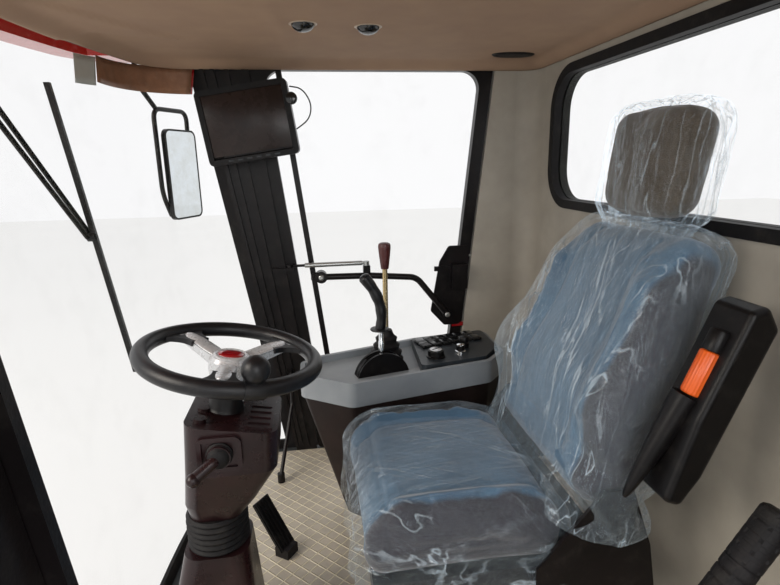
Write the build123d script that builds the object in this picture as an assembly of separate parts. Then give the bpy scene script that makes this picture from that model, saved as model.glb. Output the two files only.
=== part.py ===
from build123d import *
import os
from math import atan2, cos, degrees, hypot, radians, sin, sqrt, tan

# Operator's cab of a forage harvester. Millimetres.
# +X forward, +Y the driver's left, +Z up. The origin is the centre of the four mount holes, at the
# underside of the rubber mounts.

# Floor stack, from the mounts up
mount_height = 60
mount_radius = 45
mount_hole_radius = 8.5
mount_pitch_x = 1000
mount_pitch_y = 1240
beam_height = 80
beam_width = 70
pan_thickness = 55
tread_thickness = 5
beam_z = mount_height
pan_z = beam_z + beam_height
deck_z = pan_z + pan_thickness
floor_z = deck_z + tread_thickness

# Shell in plan
half_width = 910
wall = 48
rear_x = -680
rear_corner_radius = 120
screen_nose_x = 876
screen_radius = 2870
screen_corner_radius = 200
screen_lean = 8.3
header_z = 1660
header_height = 70
header_width = 60

# Glass and rubber
glass = 6
seal = 10
screen_border = 38
screen_border_top = 14

# Front pillar, by its edges where they meet the header, and their lean
pillar_front_x = 555
pillar_rear_x = 399
pillar_front_lean = 9.47
pillar_rear_lean = 6.56
pillar_rib = 9
pillar_rib_width = 14
pillar_lap = 9

# Rear edge of the doorway, at the header, and its lean the other way
doorway_rear_x = -478
doorway_rear_lean = 6.3

# Rear window
rear_window_side = 210
rear_window_z = (1175, 1600)
rear_window_radius = 120
gasket_width = 28

# Roof
roof_height = 250
roof_overhang = 45
visor_reach = 215
visor_lip = 85
roof_lift = 6
roof_skin = 10
roof_edge_radius = 60
liner_skin = 14
liner_gap = 2

# Headliner fittings, by X and distance in from the cab's side
lamp_places = ((190, 285), (0, 262))
lamp_radius = 42
speaker_place = (-470, 210)
speaker_size = (72, 40)

# Doors
door_gap = 6
door_thickness = 34
door_inset = 4
door_stile = 44
door_rail = 22
door_bottom_rail = 84
door_glass_lap = 14
door_corner_radius = 60
door_bar_width = 20
door_bar_offset = 105
door_open = 80
hinge_offset_x = 12
hinge_offset_y = 18
hinge_radius = 12
hinge_pin = 6
hinge_fit = 0.05
hinge_length = 34
hinge_heights = (480, 1480)

# Door pull bar and lock
pull_radius = 12
pull_inset = 72
pull_points = ((180, 912), (0, 909), (-178, 894), (-298, 742))
lock_plate_z = (690, 1005)
lock_plate_reach = 120
lock_box = (60, 30, 96)
lock_box_at = (-348, 889)
lock_catch = (66, 10, 18)

# Gas spring of each door
spring_z = 957
spring_tube_radius = 9
spring_rod_radius = 5
spring_fit = 0.06
spring_anchor_x = 292
spring_eye_x = 10
spring_tube_length = 228
spring_rod_length = 254
spring_inset = 64

# Steering column and wheel
column_x = 450
column_foot_height = 288
bellows_height = 58
bellows_radius = 69
bellows_ribs = 5
bellows_rib_depth = 6
bellows_wall = 7
housing_gap = 20
housing_height = 262
housing_top_x = 385
tilt_z = 512
tilt_pin = 8
tilt_fit = 0.05
tilt_ear = 8
tilt_block = 17
wheel_z = 928
wheel_lean = 10
deck_drop = 122
wheel_x = 387
rim_radius = 177
rim_tube = 17
hub_drop = 46
hub_rise = 3
hub_radius = 44
spoke_width = 36
spoke_reach = 150
web_inner = 102
web_round = 46
web_thickness = 12
spoke_angles = (91, 224, 318)
knob_radius = 27
knob_angle = 111
knob_rise = 40
clamp_wall = 3
clamp_angle = 12

# Side console, right of the seat
console_z = 712
console_band = 74
console_nose_x = 262
console_rear_x = -400
console_seat_gap = 47
console_wall_gap = 210
console_corner = 34
console_wall = 14
console_tuck = 8
console_turn = 14
tray_depth = 22
panel_rise = 8
switch_pitch = 38
switch_size = (32, 38, 9)
switch_rows = ((0.622, 0.615), (0.607, 0.717))
knob_places = ((0.642, 0.370, 26, 22), (0.773, 0.429, 14, 24), (0.811, 0.541, 16, 14))

# Pedal, hand rod and parking brake
pedal_size = (160, 62)
pedal_at = (362, -300)
pedal_lean = 56
pedal_turn = 35
rod_foot = (362, -650)
brake_y = 560
brake_foot_x = -200
brake_bend = (-290, 675)
brake_top = (-402, 850)
brake_grip = 24

# Levers
drive_lever_at = (0.376, 0.315)
quadrant_radius = 85
quadrant_rise = 44
quadrant_rings = ((-20, -12, 0), (-12, -8, 6), (-8, 8, 0), (8, 12, 6), (12, 20, 0))
drive_slot = 16
gear_lever_at = (0.417, 0.524)
gear_rod_radius = 8

# Seat
seat_half_width = 250
seat_front_x = 140
seat_rear_x = -285
seat_tail_x = -392
cushion_z = 512
cushion_top = 640
seat_base_top = 440
seat_base_x = (-330, 95)
rail_y = 150
rail_height = 22
back_pivot_x = -362
back_pivot_z = 662
back_radius = 72
back_length = 540
back_lean = 20.7
back_top_half = 200
head_size = (112, 270, 225)
head_at = (-546, 1308)
head_lean = 8
head_post = 7
pivot_fit = 0.05
pivot_pin = 12
arm_gap = 40
arm_width = 85
arm_pivot = (-413, 790)
arm_length = 313
arm_heel = 62
arm_thickness = 64
arm_lean = 22.3
roller_radius = 18
roller_length = 96
roller_from_end = 90

# Monitor on the right front pillar
monitor_size = (292, 34, 232)
monitor_at = (388, 1450)
monitor_inset = 188
monitor_turn = -6
monitor_roll = 8

# Mirrors
mirror_size = (18, 190, 335)
mirror_at = (690, 1288)
mirror_reach = 195
mirror_turn = -22
mirror_tube = 11

# Places that follow the cab's width
pull_y = half_width - pull_inset
spring_y = half_width - spring_inset
console_inner_y = -(seat_half_width + console_seat_gap)
console_outer_y = -(half_width - console_wall_gap)
rear_window_half = half_width - rear_window_side
arm_y = (seat_half_width + arm_gap, seat_half_width + arm_gap + arm_width)

os.makedirs("parts", exist_ok=True)


def box(x, y, z):
    """Box between three pairs of coordinates."""
    size = (x[1] - x[0], y[1] - y[0], z[1] - z[0])
    return Pos(x[0], y[0], z[0]) * Box(*size, align=(Align.MIN, Align.MIN, Align.MIN))


def drum(radius, height, at, axis=(0, 0, 1)):
    """Cylinder that starts at a point and runs along an axis."""
    plane = Plane(origin=at, z_dir=axis)
    return plane * Cylinder(radius, height, align=(Align.CENTER, Align.CENTER, Align.MIN))


def side_plate(points, y, radius=0):
    """Plate with an outline in X and Z, between two Y values."""
    face = make_face(Polyline(*points, close=True))
    if radius:
        face = fillet(face.vertices(), radius)
    return extrude(Plane(origin=(0, y[0], 0), x_dir=(1, 0, 0), z_dir=(0, -1, 0)) * face, y[0] - y[1])


def tube_path(points, radius, bend):
    """Round bar along straight runs with one bend radius."""
    path = FilletPolyline(*points, radius=bend)
    start = Plane(origin=path @ 0, z_dir=path % 0)
    return sweep(start * Circle(radius), path=path)


def pillar_front(z):
    """X of the front pillar's front edge."""
    return pillar_front_x + (z - header_z) * tan(radians(pillar_front_lean))


def pillar_rear(z):
    """X of the front pillar's rear edge."""
    return pillar_rear_x + (z - header_z) * tan(radians(pillar_rear_lean))


def doorway_rear(z):
    """X of the rear edge of the doorway."""
    return doorway_rear_x + (header_z - z) * tan(radians(doorway_rear_lean))


def screen_shift(z):
    """How far the windscreen stands behind its place at the header."""
    return (z - header_z) * tan(radians(screen_lean))


def cab_plan(inset, shift, front=0, side=0):
    """Closed plan of the cab: bowed front, straight sides and round rear corners."""
    half = half_width - inset + side
    radius = screen_radius - inset + front
    centre = screen_nose_x - screen_radius + shift
    corner_x = centre + sqrt(radius ** 2 - half ** 2)
    back = rear_x + inset - side
    sides = Polyline((corner_x, -half), (back, -half), (back, half), (corner_x, half))
    bow = ThreePointArc((corner_x, half), (centre + radius, 0), (corner_x, -half))
    face = make_face([sides, bow])
    ends = face.vertices().group_by(Axis.X)
    face = fillet(ends[-1], screen_corner_radius - inset)
    return fillet(face.vertices().group_by(Axis.X)[0], rear_corner_radius - inset)


def cab_prism(inset, z):
    """Upright prism on the cab's plan at floor level."""
    face = cab_plan(inset, screen_shift(deck_z))
    return extrude(Pos(0, 0, z[0]) * face, z[1] - z[0])


def leaning_prism(inset, z):
    """Prism on the cab's plan that leans with the windscreen."""
    face = Pos(0, 0, z[0]) * cab_plan(inset, screen_shift(z[0]))
    rise = z[1] - z[0]
    return Solid.extrude(face.face(), Vector(rise * tan(radians(screen_lean)), 0, rise))


def ahead_of_pillar(margin, z):
    """Block in front of the front pillars' front edge."""
    points = (
        (pillar_front(z[0]) + margin, z[0]),
        (1400, z[0]),
        (1400, z[1]),
        (pillar_front(z[1]) + margin, z[1]),
    )
    return side_plate(points, (-1200, 1200))


def left(shape):
    """Mirror image across the cab's middle plane."""
    return mirror(shape, about=Plane.XZ)


def make_mounts():
    """Four rubber mounts, each with a through hole for its bolt."""
    mounts = []
    for x in (-mount_pitch_x / 2, mount_pitch_x / 2):
        for y in (-mount_pitch_y / 2, mount_pitch_y / 2):
            rubber = drum(mount_radius, mount_height, (x, y, 0))
            waist = Torus(mount_radius + 14, 22)
            rubber -= Pos(x, y, mount_height / 2) * waist
            mounts.append(rubber - drum(mount_hole_radius, mount_height, (x, y, 0)))
    return mounts


def make_base_frame():
    """Welded frame of two long and four cross beams under the floor pan."""
    end_x = mount_pitch_x / 2 + beam_width / 2
    side_y = mount_pitch_y / 2
    z = (beam_z, pan_z)
    frame = box((-end_x, end_x), (-side_y - beam_width / 2, -side_y + beam_width / 2), z)
    frame += box((-end_x, end_x), (side_y - beam_width / 2, side_y + beam_width / 2), z)
    for x in (-mount_pitch_x / 2, -mount_pitch_x / 6, mount_pitch_x / 6, mount_pitch_x / 2):
        frame += box((x - beam_width / 2, x + beam_width / 2), (-side_y, side_y), z)
    for x in (-mount_pitch_x / 2, mount_pitch_x / 2):
        for y in (-side_y, side_y):
            frame -= drum(mount_hole_radius, beam_height, (x, y, beam_z))
    return frame


def make_floor_pan():
    """Floor pan on the cab's plan."""
    return cab_prism(0, (pan_z, deck_z))


def make_tread_plate():
    """Diamond plate inside the walls and the windscreen's seal."""
    return cab_prism(wall + 2, (deck_z, floor_z))


def make_pillar():
    """Right front pillar, with upright ribs on its inner face."""
    z = (deck_z, header_z)
    outline = (
        (pillar_rear(z[0]), z[0]),
        (pillar_front(z[0]), z[0]),
        (pillar_front(z[1]), z[1]),
        (pillar_rear(z[1]), z[1]),
    )
    inner_y = half_width - wall
    pillar = side_plate(outline, (-half_width, -inner_y))
    rib_z = (floor_z + 20, header_z - 10)
    for share in (0.06, 0.42, 0.72, 0.94):
        strip = []
        for level in (rib_z[0], rib_z[1]):
            middle = pillar_rear(level) + share * (pillar_front(level) - pillar_rear(level))
            strip.append((middle, level))
        low, high = strip
        half = pillar_rib_width / 2
        points = (
            (low[0] - half, low[1]),
            (low[0] + half, low[1]),
            (high[0] + half, high[1]),
            (high[0] - half, high[1]),
        )
        pillar += side_plate(points, (-inner_y, -inner_y + pillar_rib))
    return pillar + pillar_strip() + pillar_hinges() + spring_stud()


def pillar_strip():
    """Rubber-faced strip on the pillar's inner face that covers the gap to the door."""
    z = (floor_z + 20, header_z - 10)
    points = (
        (pillar_rear(z[0]) - pillar_lap, z[0]),
        (pillar_rear(z[0]) + pillar_rib_width, z[0]),
        (pillar_rear(z[1]) + pillar_rib_width, z[1]),
        (pillar_rear(z[1]) - pillar_lap, z[1]),
    )
    inner_y = half_width - wall
    return side_plate(points, (-inner_y + 1, -inner_y + pillar_rib))


def hinge_axis():
    """Plan position of the upright hinge axis of the right door."""
    return pillar_rear(header_z) + hinge_offset_x, -half_width - hinge_offset_y


def pillar_hinges():
    """Fixed hinge halves: a strap on the pillar's outer face, a knuckle and its pin."""
    x, y = hinge_axis()
    hinges = []
    for z in hinge_heights:
        low_x = pillar_rear(z) + 8
        strap = box((min(low_x, x), x + hinge_radius), (-half_width - 5, -half_width), (z, z + hinge_length))
        web = box((x - 4, x + 4), (y, -half_width), (z, z + hinge_length))
        knuckle = drum(hinge_radius, hinge_length, (x, y, z))
        pin = drum(hinge_pin, 2 * hinge_length, (x, y, z))
        hinges.append(strap + web + knuckle + pin)
    return hinges[0] + hinges[1]


def spring_stud():
    """Bracket on the pillar's inner face that carries the gas spring's rod."""
    pillar_x = pillar_rear(spring_z)
    inner_y = -half_width + wall
    z = (spring_z - 18, spring_z - 6)
    pad = box((pillar_x + 6, pillar_x + 34), (inner_y, -spring_y + 12), z)
    pad += box((spring_anchor_x - 12, pillar_x + 34), (inner_y + 3, -spring_y + 12), z)
    return pad + drum(4, 12, (spring_anchor_x, -spring_y, spring_z - 7))


def door_outline(offset, z):
    """Corners of the doorway, drawn in by an offset at the front and rear."""
    return (
        (doorway_rear(z[0]) + offset, z[0]),
        (pillar_rear(z[0]) - offset, z[0]),
        (pillar_rear(z[1]) - offset, z[1]),
        (doorway_rear(z[1]) + offset, z[1]),
    )


def door_faces():
    """Y values of the right door's outer and inner faces."""
    outer = -half_width + door_inset + glass
    return outer, outer + door_thickness


def make_door_frame():
    """Right door frame: four members, the slender inner bar and two hinge straps."""
    outer_y, inner_y = door_faces()
    z = (deck_z + door_gap, header_z - door_gap)
    frame = side_plate(door_outline(door_gap, z), (outer_y, inner_y), door_corner_radius / 3)
    window_z = (z[0] + door_bottom_rail, z[1] - door_rail)
    window = door_outline(door_gap + door_stile, window_z)
    frame -= side_plate(window, (outer_y, inner_y), door_corner_radius)
    bar = []
    for level, step in ((window_z[0] - 10, 0), (window_z[1] + 10, 0)):
        middle = pillar_rear(level) - door_bar_offset + step
        bar.append((middle, level))
    half = door_bar_width / 2
    points = (
        (bar[0][0] - half, bar[0][1]),
        (bar[0][0] + half, bar[0][1]),
        (bar[1][0] + half, bar[1][1]),
        (bar[1][0] - half, bar[1][1]),
    )
    frame += side_plate(points, (inner_y - 16, inner_y))
    return frame + door_hinges()


def door_hinges():
    """Moving hinge halves: a knuckle round the pin, an arm and a strap on the front stile."""
    x, y = hinge_axis()
    outer_y = door_faces()[0]
    hinges = []
    for z in hinge_heights:
        low = z + hinge_length + 0.5
        stile_x = pillar_rear(z) - door_gap - door_stile
        arm = box((stile_x, x), (y - 6, y + 6), (low, low + hinge_length - 1))
        foot_x = stile_x + door_glass_lap + 12
        foot = box((foot_x, stile_x + door_stile - 2), (y, outer_y), (low, low + hinge_length - 1))
        knuckle = drum(hinge_radius, hinge_length - 1, (x, y, low))
        bore = drum(hinge_pin + hinge_fit, hinge_length - 1, (x, y, low))
        hinges.append(arm + foot + knuckle - bore)
    return hinges[0] + hinges[1]


def make_door_glass():
    """Door pane, bonded to the outer face of the frame."""
    outer_y = door_faces()[0]
    z = (deck_z + door_gap + door_bottom_rail, header_z - door_gap - door_rail)
    pane_z = (z[0] - door_glass_lap, z[1] + door_glass_lap)
    points = door_outline(door_gap + door_stile - door_glass_lap, pane_z)
    return side_plate(points, (outer_y - glass, outer_y), door_corner_radius)


def make_door_handle():
    """Pull bar with its boss and spring tab, and the lock's plate and box."""
    inner_y = door_faces()[1]
    route = [(x, -pull_y, z) for x, z in pull_points]
    first = route[0]
    handle = tube_path(route, pull_radius, 60)
    boss_top = -pull_y + pull_radius
    handle += drum(22, boss_top - inner_y, (first[0], inner_y, first[2]), (0, 1, 0))
    bar_x = pillar_rear(first[2]) - door_bar_offset + door_bar_width / 2
    handle += box((first[0], bar_x), (inner_y, inner_y + 10), (first[2] - 14, first[2] + 14))
    tab = box((spring_eye_x - 13, spring_eye_x + 13), (-spring_y - 13, -spring_y + 13), (pull_points[1][1] - 9, spring_z - 10))
    handle += tab
    low, high = lock_plate_z
    rear_low = doorway_rear(low) + door_gap + 6
    rear_high = doorway_rear(high) + door_gap + 6
    outline = (
        (rear_low, low),
        (rear_low + 0.55 * lock_plate_reach, low),
        (rear_low + lock_plate_reach, low + 60),
        (rear_high + lock_plate_reach, high - 60),
        (rear_high + 0.7 * lock_plate_reach, high),
        (rear_high, high),
    )
    handle += side_plate(outline, (inner_y, inner_y + 5), 14)
    depth = lock_box[1]
    handle += box(
        (lock_box_at[0] - lock_box[0] / 2, lock_box_at[0] + lock_box[0] / 2),
        (inner_y + 5, inner_y + 5 + depth),
        (lock_box_at[1] - lock_box[2] / 2, lock_box_at[1] + lock_box[2] / 2),
    )
    catch_x = lock_box_at[0] + lock_box[0] / 2
    catch_z = lock_box_at[1] + 30
    handle += box(
        (catch_x - 2, catch_x + lock_catch[0]),
        (inner_y + 5, inner_y + 5 + lock_catch[1]),
        (catch_z - lock_catch[2] / 2, catch_z + lock_catch[2] / 2),
    )
    last = route[-1]
    return handle + drum(16, boss_top - inner_y - 5, (last[0], inner_y + 5, last[2]), (0, 1, 0))


def make_spring_rod():
    """Rod of the right door's gas spring, from its eye on the pillar."""
    eye = drum(12, 10, (spring_anchor_x, -spring_y, spring_z - 5))
    eye -= drum(4 + spring_fit, 10, (spring_anchor_x, -spring_y, spring_z - 5))
    rod = drum(spring_rod_radius, spring_rod_length - 11, (spring_anchor_x - 11, -spring_y, spring_z), (-1, 0, 0))
    return eye + rod


def make_spring_tube():
    """Tube of the right door's gas spring, with its end eye over the door's tab."""
    mouth_x = spring_eye_x + spring_tube_length
    tube = drum(spring_tube_radius, spring_tube_length - 16, (mouth_x, -spring_y, spring_z), (-1, 0, 0))
    tube -= drum(spring_rod_radius + spring_fit, spring_tube_length - 24, (mouth_x, -spring_y, spring_z), (-1, 0, 0))
    neck = drum(6, 12, (spring_eye_x + 20, -spring_y, spring_z), (-1, 0, 0))
    return tube + neck + drum(11, 16, (spring_eye_x, -spring_y, spring_z - 9.5))


def spring_open():
    """Swing ratio and stroke that bring the spring's eye back over its tab with the door open."""
    x, y = hinge_axis()
    turn = radians(door_open)
    tab = (spring_eye_x - x, -spring_y - y)
    open_x = x + tab[0] * cos(turn) - tab[1] * sin(turn) - spring_anchor_x
    open_y = y + tab[0] * sin(turn) + tab[1] * cos(turn) + spring_y
    shut = spring_anchor_x - spring_eye_x
    return atan2(-open_y, -open_x) / turn, hypot(open_x, open_y) - shut


def swing(shape, angle):
    """Turn a left-hand piece about the left door's hinge axis."""
    x, y = hinge_axis()
    return Pos(x, -y, 0) * Rot(0, 0, -angle) * Pos(-x, y, 0) * shape


def swing_spring(shape, angle):
    """Turn a left-hand piece about the left gas spring's anchor."""
    place = (spring_anchor_x, spring_y, 0)
    return Pos(*place) * Rot(0, 0, -angle * spring_open()[0]) * Pos(-place[0], -place[1], 0) * shape


def make_rear_shell():
    """Walls behind the doorways, in one ring with round corners."""
    ring = cab_prism(0, (deck_z, header_z)) - cab_prism(wall, (deck_z, header_z))
    low = doorway_rear(deck_z)
    high = doorway_rear(header_z)
    keep = side_plate(((rear_x - 50, deck_z), (low, deck_z), (high, header_z), (rear_x - 50, header_z)), (-1000, 1000))
    return ring & keep


def rear_window_face(grow):
    """Outline of the rear window, in Y and Z."""
    low, high = rear_window_z
    width = 2 * (rear_window_half + grow)
    height = high - low + 2 * grow
    face = RectangleRounded(width, height, rear_window_radius + grow)
    return Pos(0, (low + high) / 2) * face


def rear_window_block(grow, x):
    """Block through the rear wall on the window's outline."""
    plane = Plane(origin=(x[0], 0, 0), x_dir=(0, 1, 0), z_dir=(1, 0, 0))
    return extrude(plane * rear_window_face(grow), x[1] - x[0])


def make_gasket():
    """Rubber gasket that grips the rear pane and laps the wall on both sides."""
    mid = rear_x + wall / 2
    ring = rear_window_block(-0.5, (rear_x, rear_x + wall))
    lips = rear_window_block(gasket_width / 2, (rear_x - seal / 2, rear_x))
    lips += rear_window_block(gasket_width / 2, (rear_x + wall, rear_x + wall + seal / 2))
    hole = rear_window_block(-gasket_width / 2, (rear_x - seal, rear_x + wall + seal))
    slot = rear_window_block(-4, (mid - glass / 2, mid + glass / 2))
    return ring + lips - hole - slot


def make_rear_glass():
    """Rear pane in the gasket's slot."""
    mid = rear_x + wall / 2
    return rear_window_block(-4, (mid - glass / 2, mid + glass / 2))


def make_windscreen():
    """Bowed windscreen between the front pillars."""
    z = (deck_z, header_z)
    pane = leaning_prism(0, z) - leaning_prism(glass, z)
    return pane & ahead_of_pillar(1, z)


def make_screen_seal():
    """Rubber border along the inside of the windscreen's edges."""
    z = (deck_z, header_z)
    band = leaning_prism(glass, z) - leaning_prism(glass + seal, z)
    band = band & ahead_of_pillar(0, z)
    clear = (z[0] + screen_border, z[1] - screen_border_top)
    return band - ahead_of_pillar(screen_border, clear)


def make_header():
    """Ring beam that ties the pillars and rear walls under the roof."""
    z = (header_z, header_z + header_height)
    face = cab_plan(0, 0)
    hole = cab_plan(header_width, 0)
    return extrude(Pos(0, 0, z[0]) * face, header_height) - extrude(Pos(0, 0, z[0]) * hole, header_height)


def make_headliner():
    """Moulded headliner inside the ring beam, a shell that is open above."""
    low = header_z + liner_gap
    outer = cab_plan(header_width + 1, 0)
    body = extrude(Pos(0, 0, low) * outer, header_height - liner_gap)
    hollow_z = low + 2.4 * liner_skin
    hollow = extrude(Pos(0, 0, hollow_z) * cab_plan(header_width + liner_skin, 0), header_height)
    return body - hollow


def make_roof():
    """Roof moulding with a front visor, hollow over the headliner."""
    base = header_z + roof_lift
    top = header_z + roof_height
    foot = cab_plan(0, 0, visor_reach, roof_overhang)
    crown = cab_plan(70, 0, visor_reach - 60, roof_overhang - 20)
    roof = loft([Pos(0, 0, base) * foot, Pos(0, 0, top) * crown], ruled=True)
    roof = fillet(roof.faces().sort_by(Axis.Z)[-1].edges(), roof_edge_radius)
    eaves = header_height - roof_lift
    hollow = extrude(Pos(0, 0, base) * cab_plan(0, 0), eaves)
    recess = cab_plan(0, 0, visor_reach - visor_lip) & Pos(1000, 0) * Rectangle(1200, 2 * (half_width - visor_lip))
    hollow += extrude(Pos(0, 0, base) * recess, eaves)
    inner = cab_plan(header_width + 40, 0)
    hollow += extrude(Pos(0, 0, header_z) * inner, top - header_z - roof_skin)
    return roof - hollow


def make_ceiling_lights():
    """Two round lamps with a dark dome and a speaker in the headliner on each side."""
    band_z = header_z + liner_gap
    pieces = []
    for side in (-1, 1):
        for x, inset in lamp_places:
            place = Pos(x, side * (half_width - inset), band_z)
            ring = place * Pos(0, 0, -5) * Cylinder(lamp_radius, 5, align=(Align.CENTER, Align.CENTER, Align.MIN))
            dome = place * Pos(0, 0, -3) * Sphere(lamp_radius - 12)
            pieces.append(ring + (dome & box((-900, 900), (-half_width, half_width), (header_z - 60, band_z))))
        oval = Pos(speaker_place[0], side * (half_width - speaker_place[1]), band_z - 9)
        pieces.append(oval * extrude(Ellipse(*speaker_size), 9))
    return pieces


def make_foot():
    """Column foot: a flared shroud that narrows upward from the floor."""
    top = floor_z + column_foot_height
    sections = (
        (floor_z, column_x + 26, 240, 210, 30),
        (floor_z + 70, column_x + 20, 205, 180, 30),
        (top, column_x, 142, 140, 40),
    )
    faces = []
    for z, x, length, width, radius in sections:
        faces.append(Pos(x, 0, z) * RectangleRounded(length, width, radius))
    foot = loft(faces, ruled=True)
    for side in (-1, 1):
        y = sorted((side * tilt_block, side * (tilt_block + tilt_ear)))
        foot += box((column_x - 14, column_x + 14), y, (top, tilt_z + 14))
    pin_length = 2 * (tilt_block + tilt_ear)
    return foot + drum(tilt_pin, pin_length, (column_x, -pin_length / 2, tilt_z), (0, 1, 0))


def make_bellows():
    """Ribbed rubber bellows between the foot and the tilting housing."""
    low = floor_z + column_foot_height
    pitch = bellows_height / bellows_ribs
    inner = bellows_radius - bellows_rib_depth
    bore = inner - bellows_wall
    points = [(bore, low), (inner, low)]
    for rib in range(bellows_ribs):
        start = low + rib * pitch
        points.append((inner, start + 0.2 * pitch))
        points.append((bellows_radius, start + 0.4 * pitch))
        points.append((bellows_radius, start + 0.6 * pitch))
        points.append((inner, start + 0.8 * pitch))
    points.append((inner, low + bellows_height))
    points.append((bore, low + bellows_height))
    profile = make_face(Plane.XZ * Polyline(*points, close=True))
    return Pos(column_x, 0, 0) * revolve(profile, Axis.Z)


def make_housing():
    """Column housing that carries the wheel: tapered body, sloping deck, boss and stalk."""
    housing_z = floor_z + column_foot_height + bellows_height + housing_gap
    reach = column_x - housing_top_x
    sections = (
        (housing_z, column_x - 4, 112, 104, 36),
        (housing_z + 0.18 * housing_height, column_x - 0.3 * reach, 150, 138, 34),
        (housing_z + 0.52 * housing_height, column_x - 0.84 * reach, 188, 194, 30),
        (housing_z + housing_height, housing_top_x, 188, 204, 34),
    )
    faces = []
    for z, x, length, width, radius in sections:
        faces.append(Pos(x, 0, z) * RectangleRounded(length, width, radius))
    body = loft(faces, ruled=True)
    body -= on_wheel(box((-300, 300), (-200, 200), (-deck_drop, 200)))
    body += on_wheel(drum(34, deck_drop + 10 - hub_drop - 0.5, (0, 0, -deck_drop - 10)))
    for y in (17, 67):
        body += on_wheel(drum(13, 10, (42, y, -deck_drop - 2)))
    slots = box((-104, -48), (-24, 86), (-deck_drop - 4, -deck_drop + 5))
    for step in range(4):
        y = -14 + 26 * step
        slots -= box((-98, -54), (y, y + 12), (-deck_drop + 1, -deck_drop + 6))
    body += on_wheel(slots)
    block = tilt_block - 0.3
    body += box((column_x - 15, column_x + 15), (-block, block), (tilt_z - 15, housing_z))
    body -= drum(tilt_pin + tilt_fit, 2 * block, (column_x, -block, tilt_z), (0, 1, 0))
    root = (housing_top_x + 25, 84, housing_z + 0.73 * housing_height)
    corners = []
    for x, z in ((-44, -38), (44, -38), (44, 38), (-44, 38)):
        corners.append((root[0] + x, root[2] + z))
    frame = side_plate(corners, (80, 108), 16)
    frame -= box((root[0] - 34, root[0] + 34), (103, 108), (root[2] - 28, root[2] + 28))
    body += frame
    body += drum(24, 20, (root[0], 100, root[2]), (0, 1, 0))
    stalk = [(root[0], 116, root[2]), (root[0] + 10, 128, root[2] - 4), (root[0] + 44, 150, root[2] - 24)]
    body += tube_path(stalk, 12, 12)
    return body + Pos(*stalk[-1]) * Sphere(14)


def on_wheel(shape):
    """A shape drawn about the wheel's own axis, at its place in the cab."""
    return Pos(wheel_x, 0, wheel_z) * Rot(0, -wheel_lean, 0) * shape


def make_spokes():
    """Flat spokes from the hub up to the webs in the rim, about the wheel's axis."""
    half = spoke_width / 2
    profile = ((24, 12 - hub_drop), (24, 34 - hub_drop), (spoke_reach, 5), (spoke_reach, -6))
    spoke = side_plate(profile, (-half, half))
    return [Rot(0, 0, angle) * spoke for angle in spoke_angles]


def make_rim():
    """Wheel rim with a web for each spoke and the spinner knob on its clamp."""
    x = rim_radius * cos(radians(knob_angle))
    y = rim_radius * sin(radians(knob_angle))
    band = Plane.XZ * Pos(rim_radius, 0) * Circle(rim_tube + clamp_wall)
    knob = Rot(0, 0, knob_angle - clamp_angle / 2) * revolve(band, Axis.Z, clamp_angle)
    knob += drum(knob_radius / 2, knob_rise, (x, y, 0))
    knob += Pos(x, y, knob_rise) * Sphere(knob_radius)
    low = -0.6 * web_thickness
    web = box((web_inner, rim_radius), (-64, 64), (low, low + web_thickness))
    web = web & drum(rim_radius, web_thickness, (0, 0, low))
    for side in (-1, 1):
        place = (web_inner + 8, side * (spoke_width / 2 + 4 + web_round), low)
        web -= drum(web_round, web_thickness, place)
    rim = Torus(rim_radius, rim_tube) + knob
    for angle, spoke in zip(spoke_angles, make_spokes()):
        rim += Rot(0, 0, angle) * web - spoke
    return on_wheel(rim)


def make_wheel_hub():
    """Domed hub of the steering wheel with its spokes."""
    outline = (
        (0, -hub_drop),
        (hub_radius - 4, -hub_drop),
        (hub_radius, 16 - hub_drop),
        (hub_radius, -8),
        (hub_radius - 6, 0),
        (hub_radius - 14, hub_rise),
        (0, hub_rise),
    )
    hub = revolve(make_face(Plane.XZ * Polyline(*outline, close=True)), Axis.Z)
    for spoke in make_spokes():
        hub += spoke
    return on_wheel(hub)


def console_points(shares):
    """Corners in plan from shares of the console's length and width."""
    length = console_nose_x - console_rear_x
    width = console_inner_y - console_outer_y
    return [(console_nose_x - along * length, console_inner_y - across * width) for along, across in shares]


console_plan = (
    (0.0, 0.256),
    (0.222, 0.0),
    (0.894, 0.256),
    (1.0, 0.454),
    (1.0, 1.0),
    (0.586, 0.901),
    (0.094, 0.625),
    (0.0, 0.504),
)
console_foot = (
    (0.192, 0.355),
    (0.26, 0.256),
    (0.849, 0.33),
    (0.94, 0.454),
    (0.94, 0.851),
    (0.577, 0.777),
    (0.245, 0.603),
    (0.192, 0.529),
)
panel_plan = ((0.553, 0.196), (0.876, 0.305), (0.976, 0.504), (0.976, 0.95), (0.577, 0.846))


def console_outline(inset):
    """Plan of the side console's upper band."""
    face = make_face(Polyline(*console_points(console_plan), close=True))
    face = fillet(face.vertices(), console_corner)
    return offset(face, -inset) if inset else face


def make_console_band():
    """Grey upper band of the console, a tray with a raised rim."""
    low = console_z - console_band
    band = extrude(Pos(0, 0, low) * console_outline(0), console_band)
    tray = extrude(Pos(0, 0, console_z - tray_depth) * console_outline(console_wall), tray_depth)
    return band - tray - make_switch_panel()


def make_console_body():
    """Dark lower body of the console, tapering down to its foot."""
    top = console_z - console_band
    upper = offset(make_face(Polyline(*console_points(console_plan), close=True)), -console_tuck)
    foot = make_face(Polyline(*console_points(console_foot), close=True))
    corner = 0.7 * console_corner
    faces = [Pos(0, 0, floor_z) * fillet(foot.vertices(), corner)]
    faces.append(Pos(0, 0, top) * fillet(upper.vertices(), corner))
    return loft(faces, ruled=True)


def make_switch_panel():
    """Raised switch panel on the rear half of the console."""
    face = make_face(Polyline(*console_points(panel_plan), close=True))
    face = fillet(face.vertices(), console_wall)
    return extrude(Pos(0, 0, console_z - tray_depth) * face, tray_depth + panel_rise)


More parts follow.
